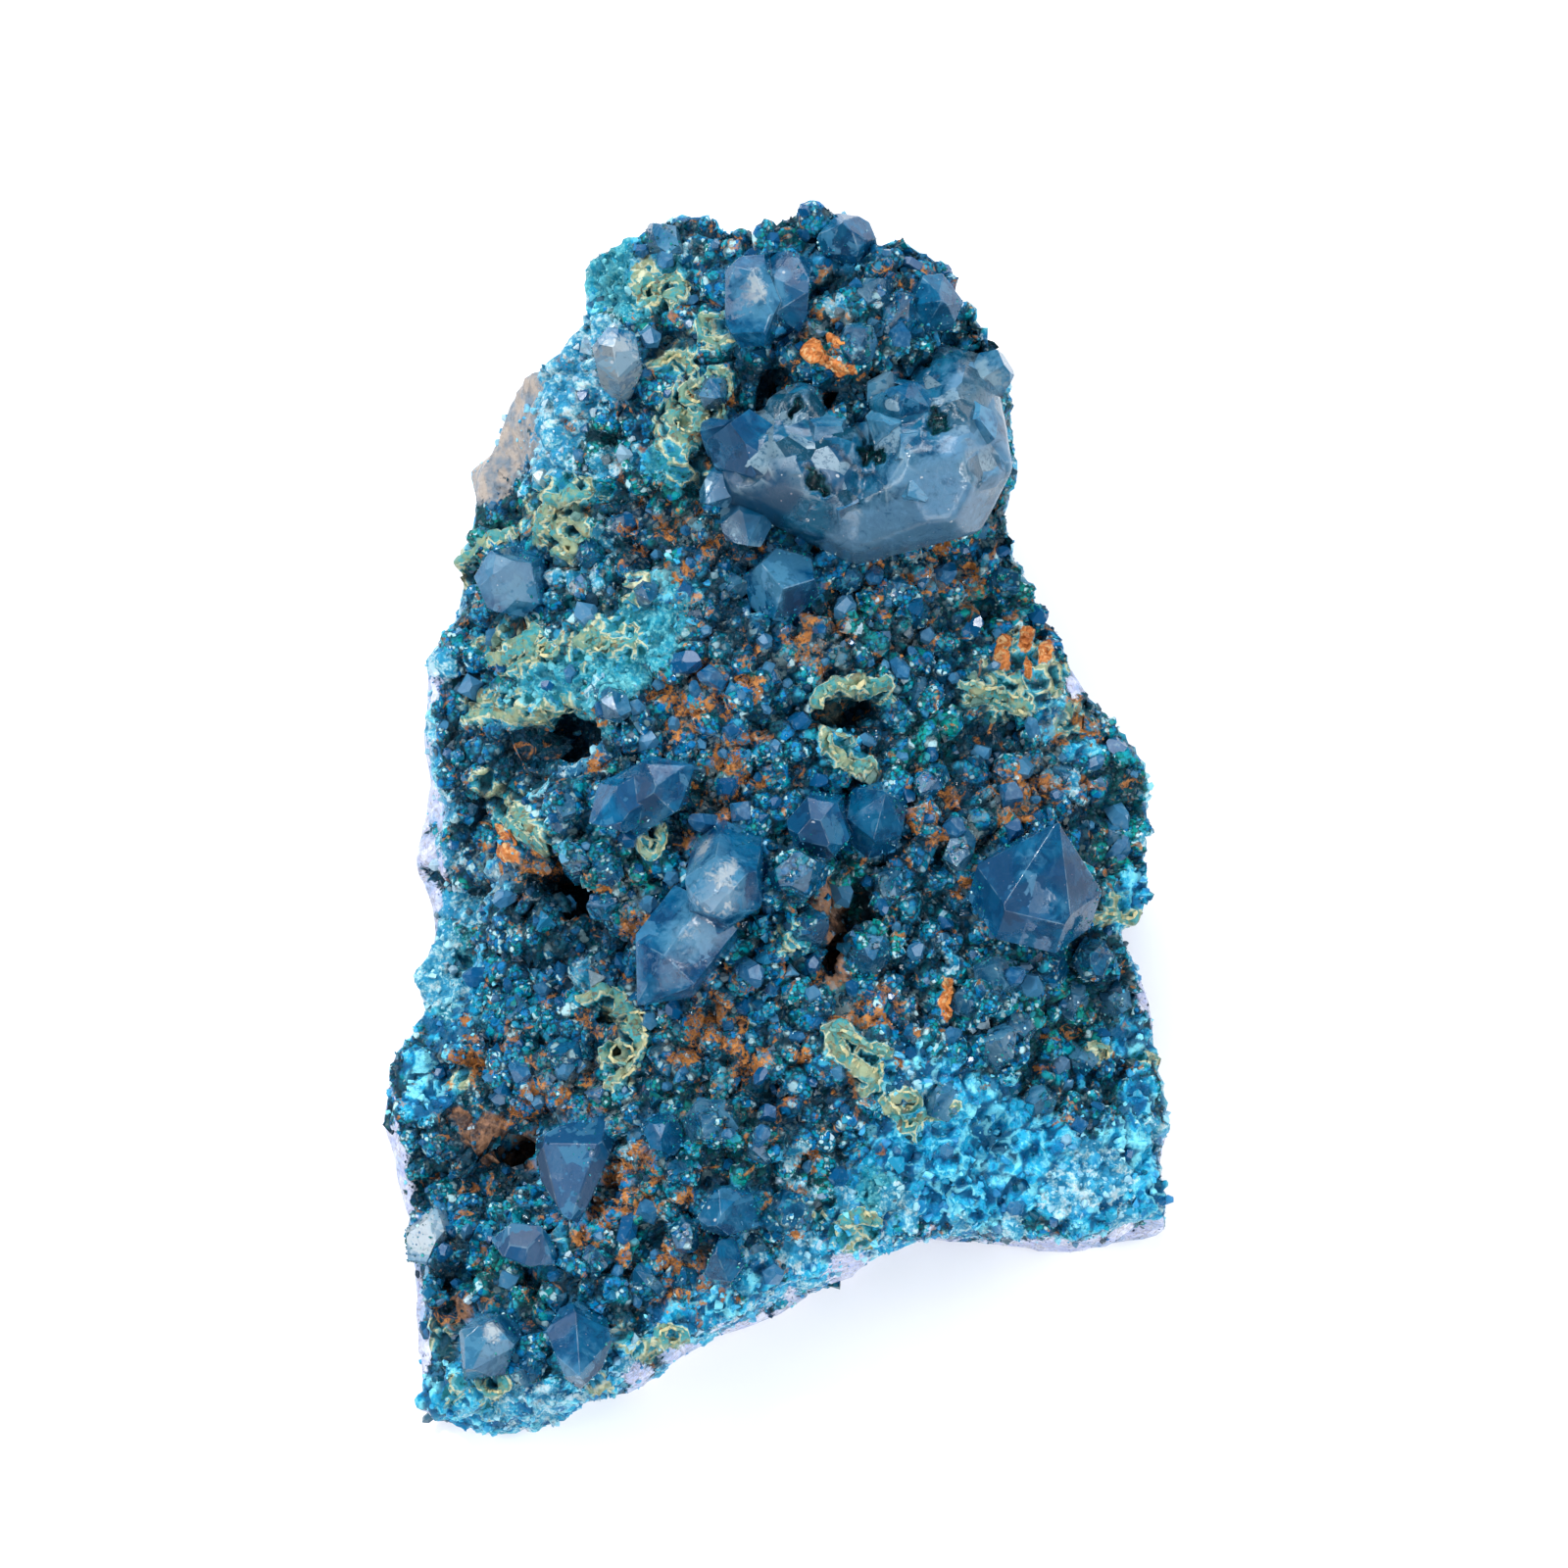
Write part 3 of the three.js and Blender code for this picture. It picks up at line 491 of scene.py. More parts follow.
# Patches of the crystal face: (pixel across, pixel down, radius).
TURQUOISE_PATCHES = [
    # front right
    (925, 1100, 40), (960, 1130, 50), (1010, 1150, 52), (1060, 1190, 58), (1110, 1210, 50),
    (1150, 1180, 40), (1180, 1225, 30), (1000, 1220, 50), (950, 1205, 45), (920, 1160, 35),
    (1170, 1120, 22), (1160, 1060, 22), (900, 1215, 35),
    # front edge
    (880, 1255, 35), (830, 1290, 30), (780, 1312, 28), (730, 1332, 26), (690, 1352, 24),
    (650, 1385, 22), (620, 1412, 26), (450, 1430, 35), (500, 1445, 40), (550, 1440, 35),
    (590, 1425, 28), (470, 1466, 30), (520, 1470, 32),
    # back left
    (620, 270, 35), (650, 300, 25), (600, 300, 25), (640, 240, 20), (690, 270, 20),
    # left
    (660, 640, 40), (630, 680, 36), (690, 600, 25), (560, 705, 40), (600, 732, 26), (520, 722, 25),
    (690, 480, 22), (702, 450, 18), (665, 470, 18), (748, 430, 12), (455, 990, 45), (460, 1040, 30),
    (440, 1010, 25), (440, 1120, 26), (430, 1090, 20),
    # right edge and under the slot
    (1080, 735, 20), (1110, 765, 15), (1150, 930, 25), (1165, 900, 15), (860, 765, 20),
]
OLIVE_PATCHES = [
    (680, 295, 26), (665, 285, 18), (735, 340, 20), (710, 330, 10), (698, 365, 18), (700, 430, 28),
    (715, 405, 18), (735, 395, 14), (690, 470, 20), (715, 480, 16), (575, 520, 32), (595, 500, 18),
    (590, 540, 20), (535, 660, 28), (510, 655, 15), (640, 650, 24), (600, 660, 24), (620, 640, 20),
    (650, 600, 16), (500, 720, 18), (540, 725, 22), (575, 720, 18), (500, 800, 14), (520, 820, 14),
    (550, 850, 12), (668, 850, 18), (640, 830, 12), (630, 1030, 15), (650, 1060, 14),
    (620, 1080, 9), (640, 1100, 10), (870, 710, 18), (845, 708, 12), (905, 710, 12), (860, 768, 16),
    (885, 780, 14), (870, 1070, 24), (860, 1060, 16), (885, 1090, 16), (895, 1102, 11),
    (810, 955, 15), (1020, 705, 28), (1050, 710, 20), (1045, 665, 20), (1075, 690, 18),
    (1100, 735, 18), (970, 1010, 9), (880, 1250, 18), (860, 1265, 12), (630, 1360, 15),
    (660, 1378, 15), (580, 1265, 12), (500, 1415, 20), (460, 1420, 14), (615, 1410, 14),
    (448, 1365, 16), (470, 1100, 14), (480, 590, 9), (930, 1150, 10), (840, 1245, 10),
    (1172, 1080, 10), (1140, 920, 12), (1125, 935, 10),
]
RUST_PATCHES = [
    (615, 725, 14), (608, 775, 13), (815, 1222, 12), (830, 1180, 10), (812, 1262, 10),
    (795, 1230, 9), (600, 1040, 10), (855, 368, 13), (820, 368, 8), (862, 353, 9), (830, 310, 8),
    (835, 507, 7), (750, 538, 14), (735, 557, 10), (715, 575, 12), (650, 560, 10), (640, 535, 9),
    (720, 720, 17), (745, 770, 18), (760, 755, 13), (730, 690, 15), (700, 722, 15), (690, 745, 13),
    (775, 800, 11), (740, 832, 11), (640, 800, 9), (830, 650, 12), (836, 636, 10), (826, 672, 8),
    (645, 938, 13), (662, 945, 11), (602, 925, 9), (740, 1020, 15), (720, 1050, 18),
    (745, 1062, 15), (700, 1082, 15), (760, 1092, 13), (782, 1076, 11), (820, 1076, 12),
    (900, 1040, 13), (935, 1052, 11), (885, 1025, 11), (840, 1000, 9), (920, 1082, 9),
    (550, 1120, 20), (530, 1136, 13), (580, 1116, 13), (600, 1100, 9), (480, 1080, 15),
    (475, 1040, 11), (700, 1300, 13), (680, 1290, 13), (720, 1312, 13), (742, 1322, 9),
    (682, 1322, 9), (630, 1200, 20), (650, 1230, 20), (620, 1242, 15), (600, 1262, 15),
    (660, 1182, 13), (690, 1160, 11), (700, 1222, 11), (640, 1282, 13), (1050, 830, 15),
    (1072, 812, 13), (1030, 832, 11), (1110, 800, 9), (990, 902, 9), (940, 832, 9), (960, 852, 11),
    (1000, 862, 11), (1090, 752, 9), (930, 592, 8), (870, 592, 9), (850, 602, 9), (980, 596, 8),
    (530, 880, 11), (560, 902, 9), (520, 852, 8), (905, 250, 8), (680, 700, 14), (705, 860, 8),
    (1120, 745, 10), (780, 560, 6),
]
PALE_PATCHES = [
    (665, 275, 20), (815, 1275, 22), (815, 1180, 16), (815, 1225, 20), (515, 1425, 20),
    (560, 1430, 18), (465, 925, 22), (455, 875, 18), (452, 825, 18), (455, 675, 16), (615, 550, 18),
    (600, 590, 16), (570, 590, 14), (765, 1278, 16), (665, 1378, 18), (915, 1225, 18),
    (1110, 1175, 18), (715, 425, 14), (1066, 668, 14), (865, 1225, 16), (575, 400, 42),
    (560, 450, 34), (590, 352, 28), (570, 482, 24), (622, 345, 22), (690, 252, 14), (678, 242, 10),
    (860, 315, 12), (900, 300, 12), (600, 1000, 16), (925, 1100, 14), (1090, 800, 14),
    (700, 780, 10), (1095, 1218, 26), (1135, 1200, 20), (962, 1116, 18), (620, 470, 16),
    (448, 1000, 30), (455, 965, 20), (424, 690, 14), (560, 360, 20), (1186, 1150, 12),
    (1178, 860, 10), (930, 1246, 12), (982, 1250, 12), (1034, 1250, 12), (1150, 1246, 14),
    (880, 1262, 9), (760, 1318, 9), (640, 1395, 10),
]
# Patches painted darker: partly a darker crust, partly painted shade in recesses.
DEEP_PATCHES = [
    (800, 396, 40), (965, 875, 34), (465, 1125, 30), (915, 650, 30), (640, 690, 26), (865, 668, 18),
    (715, 372, 16), (565, 1075, 26), (615, 1080, 22), (665, 1080, 22), (715, 1078, 20),
    (865, 1022, 18), (515, 876, 20), (840, 402, 32), (860, 262, 30), (905, 285, 26), (740, 590, 36),
    (640, 562, 22), (840, 650, 26), (900, 735, 30), (500, 1170, 42), (545, 1182, 36),
    (600, 1160, 26), (640, 985, 28), (590, 940, 26), (960, 922, 36), (930, 882, 28),
    (790, 1120, 36), (1000, 800, 34), (570, 760, 44), (535, 768, 34), (545, 900, 30),
    (600, 880, 20), (760, 650, 30), (700, 1250, 26), (660, 1320, 24), (560, 1300, 26),
    (450, 1300, 20), (850, 980, 26), (1010, 760, 26), (1060, 780, 20),
]
GREEN_PATCHES = [
    (455, 975, 34), (448, 1010, 26), (612, 452, 32), (880, 642, 28), (922, 652, 28),
    (1000, 622, 24), (1040, 600, 18), (952, 752, 32), (1142, 852, 30), (1152, 802, 24),
    (682, 802, 22), (602, 902, 30), (652, 882, 22), (902, 962, 22), (880, 902, 24),
    (1062, 1042, 28), (1102, 1022, 22), (562, 1082, 18), (622, 1122, 18), (702, 1132, 32),
    (762, 1172, 32), (502, 1302, 24), (542, 1312, 28), (582, 1212, 18), (832, 1212, 18),
    (842, 360, 26), (690, 590, 14), (480, 560, 24), (660, 640, 44), (630, 680, 36), (560, 705, 44),
    (600, 732, 26), (690, 480, 36), (650, 300, 44), (620, 270, 30), (705, 440, 30), (600, 550, 30),
    (500, 560, 40), (455, 1000, 20), (900, 1215, 24),
]
LAVENDER_PATCHES = [
    (432, 700, 22), (426, 760, 20), (428, 820, 22), (432, 870, 20), (440, 920, 16), (700, 1388, 20),
    (750, 1368, 18), (800, 1352, 15), (655, 1410, 14), (870, 1296, 22), (950, 1282, 20),
    (1020, 1286, 20), (1080, 1284, 22), (1140, 1278, 22), (1180, 1258, 14), (430, 1255, 20),
    (1180, 1020, 14), (1100, 700, 12),
]
TAN_PATCHES = [(515, 452, 38), (525, 420, 26), (505, 490, 20), (540, 396, 18)]
BROWN_PATCHES = [
    (853, 922, 17), (848, 950, 15), (855, 980, 14), (862, 1000, 10), (500, 1160, 24),
    (535, 1172, 18), (478, 1140, 12), (470, 1330, 14), (842, 905, 10),
]
PATCHES = {
    "brown": BROWN_PATCHES,
    "turquoise": TURQUOISE_PATCHES,
    "olive": OLIVE_PATCHES,
    "rust": RUST_PATCHES,
    "pale": PALE_PATCHES,
    "deep": DEEP_PATCHES,
    "green": GREEN_PATCHES,
    "lavender": LAVENDER_PATCHES,
    "tan": TAN_PATCHES,
}
# Places where the rock is sunk further, or raised where the depth is negative:
# (pixel across, pixel down, radius, depth in millimetres).
PITS = [
    (842, 730, 10, 2.2), (854, 731, 11, 2.6), (868, 730, 11, 2.6), (882, 728, 11, 2.6),
    (894, 727, 9, 2.2), (578, 757, 40, 1.7), (548, 748, 28, 1.3), (612, 768, 26, 1.3),
    (532, 770, 30, 1.2), (556, 788, 24, 0.8), (500, 1172, 40, -3.0), (852, 955, 30, -2.2),
    (640, 1045, 24, -1.0), (625, 1040, 16, 0.8), (760, 345, 12, 0.9), (795, 395, 22, 0.8),
    (551, 878, 24, 2.6), (566, 903, 28, 3.2), (581, 927, 29, 3.2), (595, 950, 26, 2.8),
    (603, 968, 18, 1.8), (540, 925, 26, 1.0), (965, 880, 18, 1.2), (737, 392, 7, 1.0),
    (731, 418, 6, 0.9), (705, 432, 8, 0.8), (740, 337, 12, 0.8), (668, 852, 9, 0.8),
    (645, 1045, 10, 0.8), (632, 1070, 9, 0.8), (480, 1090, 20, 0.8), (1015, 1158, 30, 1.3),
    (1000, 1200, 20, 0.8), (1060, 1180, 14, 0.7), (940, 1180, 14, 0.7), (650, 560, 12, 0.9),
    (620, 500, 12, 0.9), (660, 510, 12, 0.9), (460, 1310, 16, 1.0),
]
# Broad shaded recesses and broad rusty stretches, as patches.
SHADED_PATCHES = [
    (560, 895, 24), (582, 925, 26), (598, 955, 22), (465, 1125, 22), (965, 878, 20),
    (640, 1075, 16), (578, 758, 52), (540, 764, 44), (545, 900, 32), (600, 965, 40),
    (505, 1172, 52), (555, 1180, 30), (852, 955, 24), (868, 729, 24), (800, 400, 34),
    (625, 1040, 20), (640, 560, 20), (1040, 985, 22), (460, 1310, 18), (760, 650, 22),
    (845, 520, 10), (700, 620, 20), (900, 1100, 16), (1018, 1160, 22),
]
RUSTY_STRETCHES = [
    (740, 710, 70), (740, 790, 50), (625, 1200, 80), (760, 1060, 80), (570, 1105, 50),
    (880, 1035, 50), (1060, 815, 50), (700, 1290, 50), (960, 605, 80), (645, 930, 40),
    (480, 1080, 40), (680, 560, 60), (830, 660, 50), (960, 840, 60), (850, 350, 40), (720, 420, 40),
    (590, 1120, 40), (1090, 740, 40), (520, 880, 40), (820, 1090, 50), (640, 800, 30),
    (930, 290, 30),
]
# Thin walls of old crust: (radius, line), both in pixels.
CREAM_WALLS = [
    (4.5, [(512, 673), (528, 666), (543, 656), (556, 643)]),
    (4.5, [(520, 684), (536, 677), (551, 666), (562, 654)]),
    (4.5, [(988, 698), (1010, 703), (1030, 709), (1054, 718)]),
    (4, [(992, 711), (1014, 715), (1034, 722), (1050, 730)]),
    (6, [(838, 720), (842, 704), (856, 698), (870, 703), (882, 697), (896, 701), (908, 698)]),
    (5, [(846, 748), (848, 762), (858, 778), (874, 786), (892, 778)]),
    (5, [(846, 1050), (862, 1052), (876, 1060), (888, 1068), (907, 1074)]),
    (7, [(856, 1062), (866, 1078), (880, 1090), (898, 1096)]),
    (4.5, [(900, 1086), (898, 1102), (884, 1112)]),
    (4.5, [(538, 824), (546, 842), (555, 858), (564, 876)]),
    (4.5, [(528, 836), (538, 852), (549, 868)]),
    (4.5, [
        (600, 1022), (618, 1010), (638, 1018), (654, 1038), (660, 1062), (650, 1088), (630, 1106),
    ]),
    (4, [(480, 737), (495, 730), (510, 728), (528, 734), (545, 736), (562, 729), (582, 732)]),
    (4.5, [(560, 549), (563, 528), (572, 510), (586, 504), (602, 507)]),
    (4, [(576, 558), (586, 568), (596, 562), (602, 548)]),
    (4, [(598, 656), (612, 650), (626, 654), (640, 662), (657, 650)]),
    (4, [(466, 594), (478, 574), (492, 560), (510, 552), (532, 545)]),
    (4.5, [(676, 372), (690, 362), (704, 366), (713, 379)]),
    (4.5, [(905, 1120), (915, 1135), (928, 1150), (944, 1140), (960, 1138), (976, 1126)]),
    (4.5, [(1116, 940), (1134, 932), (1150, 938), (1164, 930)]),
    (5, [(870, 1245), (884, 1238), (896, 1246)]),
]
# Rings of crust about small holes: (pixel across, pixel down, half width, half height).
CREAM_CUPS = [
    (737, 392, 11, 15), (731, 420, 9, 13), (705, 430, 14, 10), (740, 335, 18, 14),
    (690, 295, 16, 11), (667, 852, 13, 18), (650, 1040, 12, 9), (634, 1074, 12, 10),
    (610, 655, 12, 8), (590, 540, 14, 11), (1122, 1075, 9, 7), (926, 1122, 10, 8),
    (560, 662, 11, 7), (684, 1362, 12, 8), (505, 1412, 14, 8), (545, 728, 12, 8), (712, 402, 10, 8),
    (668, 300, 9, 12),
]
CUP_WALL = 4
ORANGE_WALLS = [
    (5.5, [(1027, 656), (1024, 668), (1029, 682)]),
    (7, [(1050, 648), (1047, 660)]),
    (4.5, [(1050, 680), (1055, 692)]),
    (5.5, [(1073, 664), (1068, 676)]),
    (5.5, [(834, 360), (850, 367), (872, 376)]),
    (4, [(856, 348), (864, 352)]),
    (4.5, [(968, 1000), (972, 1012), (966, 1024), (969, 1036)]),
    (4.5, [(520, 845), (526, 860), (522, 874)]),
    (4.5, [(829, 502), (831, 510), (838, 514)]),
]


def wall_weight(pixels, walls):
    """1 along the middle of each line, fading to 0 beyond its radius."""
    weight = np.zeros(len(pixels))
    for radius, line in walls:
        for start, end in zip(np.array(line[:-1], float), np.array(line[1:], float)):
            along = end - start
            share = np.clip((pixels - start) @ along / (along @ along), 0, 1)
            gap = np.linalg.norm(pixels - start - share[:, None] * along, axis=1)
            weight = np.maximum(weight, smooth(1.6 - gap / radius))
    return weight


def cup_weight(pixels):
    weight = np.zeros(len(pixels))
    for across, down, wide, high in CREAM_CUPS:
        away = (pixels - (across, down)) / (wide, high)
        gap = np.abs(np.linalg.norm(away, axis=1) - 1) * (wide + high) / 2
        weight = np.maximum(weight, smooth(1.6 - gap / CUP_WALL))
    return weight


def patch_weight(pixels, patches):
    """1 in the middle of a patch, a half on its edge, 0 beyond."""
    weight = np.zeros(len(pixels))
    for across, down, radius in patches:
        gap = np.hypot(pixels[:, 0] - across, pixels[:, 1] - down) / radius
        weight = np.maximum(weight, np.clip(1.5 - gap, 0, 1))
    return weight


# ---- the shapes of the crystals

SEATED = [name for name in frame["nodes"] if name.startswith("quartz")]
# The outline of each crystal that is broken all round, in pixels, clockwise and without dents.
BROKEN_OUTLINES = {
    "quartz_west_point": [
        (545, 1162), (570, 1148), (622, 1136), (634, 1147), (617, 1188), (600, 1228), (589, 1248),
        (574, 1241), (551, 1204),
    ],
    "quartz_plate": [
        (500, 1264), (521, 1247), (550, 1250), (570, 1272), (574, 1289), (540, 1292), (511, 1281),
    ],
    "quartz_corner_pale": [
        (467, 1358), (489, 1339), (525, 1341), (534, 1370), (515, 1402), (472, 1407),
    ],
    "quartz_corner_blue": [
        (556, 1358), (570, 1334), (590, 1326), (618, 1342), (623, 1370), (612, 1397), (591, 1417),
        (575, 1406),
    ],
    "quartz_south_block": [
        (711, 1242), (722, 1222), (736, 1211), (758, 1205), (777, 1236), (773, 1251), (738, 1262),
        (716, 1254),
    ],
    "quartz_south_spike": [
        (717, 1299), (732, 1264), (748, 1262), (763, 1290), (749, 1313), (729, 1313),
    ],
    "quartz_south_wedge": [
        (653, 1148), (671, 1135), (692, 1139), (697, 1166), (687, 1179), (663, 1171),
    ],
    "quartz_left_block": [
        (484, 588), (500, 562), (531, 555), (566, 574), (561, 610), (535, 629), (499, 622),
    ],
    "quartz_back_tablet": [
        (741, 276), (756, 262), (806, 256), (829, 264), (824, 330), (806, 351), (757, 355),
        (741, 332),
    ],
    "quartz_pale_spray": [(605, 354), (621, 333), (648, 338), (660, 370), (643, 410), (617, 406)],
    "quartz_west_edge": [
        (413, 1254), (439, 1232), (467, 1236), (460, 1268), (438, 1291), (415, 1285),
    ],
}
# How many upper corners of a crystal are broken off.
CHIPS = {
    "quartz_west_point": 1, "quartz_plate": 1, "quartz_corner_pale": 2, "quartz_left_block": 1,
    "quartz_pale_spray": 2, "quartz_back_tablet": 1, "quartz_west_edge": 1,
}
SPARE = 1.2  # by how much a crystal is wider than its outline before it is cut
PLUG_LOOKS = 16  # places about a socket at which the level of the rock is looked up
PLUG_RING = 1.2  # how far out they are, in half widths of the crystal


def cut_away(shell, spot, outward):
    """Cuts a closed shell by a plane and closes it again."""
    whole = shell.verts[:] + shell.edges[:] + shell.faces[:]
    bmesh.ops.bisect_plane(shell, geom=whole, plane_co=spot, plane_no=outward, clear_outer=True)
    bmesh.ops.holes_fill(shell, edges=[e for e in shell.edges if e.is_boundary], sides=0)


def spread_over(shell, outline):
    """Moves and widens the shell, square to the sight, until it covers the outline."""
    seen = pixels_of(np.array([v.co for v in shell.verts]))
    outline = np.array(outline, float)
    have, want = np.ptp(seen, axis=0), np.ptp(outline, axis=0)
    widen = np.maximum(SPARE * want / have, 1)
    middle = (seen.min(axis=0) + seen.max(axis=0)) / 2
    target = (outline.min(axis=0) + outline.max(axis=0)) / 2
    for vertex, pixel in zip(shell.verts, seen):
        across, down = target + (pixel - middle) * widen - pixel
        vertex.co += (SIGHT_RIGHT * across - SIGHT_UP * down) * PIXEL


def hull_over(shell, corners):
    """Lays a hull over corners of a shell. The corners inside it go."""
    hull = bmesh.ops.convex_hull(shell, input=corners)
    inner = hull["geom_interior"] + hull["geom_unused"]
    inner = {g for g in inner if isinstance(g, bmesh.types.BMVert)}
    bmesh.ops.delete(shell, geom=list(inner), context="VERTS")


def broken_off(mesh, outline, chips, chance):
    """The mesh cut to an outline, with corners cut off, unless that would leave it open."""
    shell = bmesh.new()
    shell.from_mesh(mesh)
    if outline:
        spread_over(shell, outline)
        rays = [sight_line(*corner) for corner in outline]
        for ray, next_ray in zip(rays, rays[1:] + rays[:1]):
            cut_away(shell, EYE, next_ray.cross(ray))
    middle = sum((v.co for v in shell.verts), Vector()) / max(1, len(shell.verts))
    for _ in range(chips):
        aim = (SIGHT_OUT + Vector([chance.gauss(0, 0.5) for _ in range(3)])).normalized()
        reach = max((v.co - middle).dot(aim) for v in shell.verts)
        cut_away(shell, middle + aim * reach * chance.uniform(0.7, 0.88), aim)
    bmesh.ops.remove_doubles(shell, verts=shell.verts, dist=0.01 * MM)
    bmesh.ops.recalc_face_normals(shell, faces=shell.faces)
    if all(edge.is_manifold for edge in shell.edges):
        shell.to_mesh(mesh)
    shell.free()
    return mesh


def shaped_crystals():
    chance = random.Random(3)
    return {
        name: broken_off(welded_copy(name), BROKEN_OUTLINES.get(name), CHIPS.get(name, 0), chance)
        for name in SEATED
    }


def plug(name, rock):
    """What fills the socket of a crystal that was cut, level with the rock about it."""
    mesh = welded_copy(name)
    seen = pixels_of(places(mesh))
    middle, half = (seen.min(axis=0) + seen.max(axis=0)) / 2, np.ptp(seen, axis=0) / 2
    levels = []
    for turn in np.linspace(0, 2 * math.pi, PLUG_LOOKS, endpoint=False):
        pixel = middle + half * PLUG_RING * np.array([math.cos(turn), math.sin(turn)])
        place = rock.ray_cast(EYE, sight_line(*pixel))[0]
        if place:
            levels.append(place.dot(SIGHT_OUT))
    with shell_of(mesh) as shell:
        cut_away(shell, SIGHT_OUT * float(np.median(levels)), SIGHT_OUT)
    return mesh


# ---- the rock

ROCK_VOXEL = 0.62 * MM  # the face is divided once more, its thin walls twice
TURNED_UP = 0.2  # how far a part of the rock has to be turned to the eye to be divided
SOCKET_REACH = 0.9 * MM  # how near a crystal the rock may close up against it
SOCKET_TOUCH = 0.42 * MM  # how near it closes up altogether
SOCKET_FADE = 0.45 * MM  # over how much more it closes up less and less
WALL_SHARE = 0.2  # how much of a wall has to be at a corner of the rock for it to be divided


def add_part(group, corners, faces):
    """Adds corners, and faces between them, to a group of both."""
    start = len(group[0])
    group[0].extend(corners)
    group[1].extend(tuple(start + i for i in face) for face in faces)


def crystals_tree():
    """A search tree of every crystal that is a piece of its own."""
    group = [], []
    for mesh in shaped.values():
        add_part(group, [v.co.copy() for v in mesh.vertices], [p.vertices for p in mesh.polygons])
    return BVHTree.FromPolygons(*group)


def divided(mesh, chosen):
    """Divides in four the faces whose corners are all chosen."""
    with shell_of(mesh) as shell:
        inside = [face for face in shell.faces if all(chosen[v.index] for v in face.verts)]
        edges = list({edge for face in inside for edge in face.edges})
        bmesh.ops.subdivide_edges(shell, edges=edges, cuts=1, use_grid_fill=True, smooth=0.4)
        bmesh.ops.triangulate(shell, faces=[f for f in shell.faces if len(f.verts) > 4])


def domes(near, number, size, least, height=1.0):
    """Round lumps over scattered centres, each of its own height."""
    return height * np.sqrt(np.clip(1 - (near / size) ** 2, 0, 1)) * (least + number)


def relief(grid, zones, facing):
    """How far the rock stands out at points in millimetres, how much painted shade its creases and
    pits get, and how ridged it is.
    """
    warp = clouds(grid, 2.2, (11, 12, 13))
    swell = cloud(grid, 4.2, 3, 2)
    near, second, number = worley(grid + 0.55 * warp, 1.75, 21)
    lump = domes(near, 0.75 * number, 0.8, 0.55)
    crease = smooth(1 - (second - near) / 0.28)
    near, _, number = worley(grid + 0.2 * warp, 0.72, 22)
    granule = domes(near, number, 0.75, 0.4, 0.34)
    near, second, _ = worley(grid + 0.45 * warp, 1.3, 31)
    wall = smooth(1 - (second - near) / 0.24)
    near, _, number = worley(grid + 0.4 * warp, 1.15, 41)
    knob = domes(near, number, 0.8, 0.4)
    move = 0.55 * swell + 1.15 * lump - 0.4 * crease + granule - 0.92
    crust_move = 0.5 * swell + 0.5 * knob + 0.5 * granule + 0.5 * wall - 0.65
    box_move = 0.35 * swell + 1.0 * wall + 0.5 * granule - 0.55
    smooth_move = 0.3 * swell + 0.25 * cloud(grid, 1.3, 61, 2)
    for wanted, share in (
        (crust_move, zones["turquoise"]),
        (box_move, zones["olive"] * facing),
        (smooth_move, np.maximum(zones["lavender"], zones["tan"])),
    ):
        move = move + (wanted - move) * share
    # Painted shade: creases and low places get a dark tone in the paint.
    hollow = smooth(0.27 - 0.9 * move + 0.75 * crease)
    return move, hollow, wall


def solid_rock():
    """The matrix with the sockets of the cut crystals filled, built anew from small cubes."""
    mesh = welded_copy("matrix")
    bare_rock = tree_of(mesh)
    with shell_of(mesh) as shell:
        for name in BROKEN_OUTLINES:
            shell.from_mesh(plug(name, bare_rock))
    mesh = remeshed(mesh, ROCK_VOXEL)
    divided(mesh, to_eye(mesh) > TURNED_UP)
    pixels = pixels_of(places(mesh))
    walls = np.maximum(wall_weight(pixels, CREAM_WALLS + ORANGE_WALLS), cup_weight(pixels))
    divided(mesh, (walls > WALL_SHARE) & (to_eye(mesh) > TURNED_UP))
    return mesh


def closed_up(points, crystals):
    """Pulls points near a seated crystal to it. Returns how clear of crystals each one is."""
    bare = np.ones(len(points))
    for index, point in enumerate(points):
        place, normal, _, gap = crystals.find_nearest(Vector(point), SOCKET_REACH)
        if place is None:
            continue
        pull = min(1, max(0, 1 - (gap - SOCKET_TOUCH) / SOCKET_FADE))
        target = np.array(place - normal * 0.05 * MM)
        points[index] = point + (target - point) * pull
        bare[index] = min(1, max(0, (gap / MM - 0.3) / 0.3))
    return bare


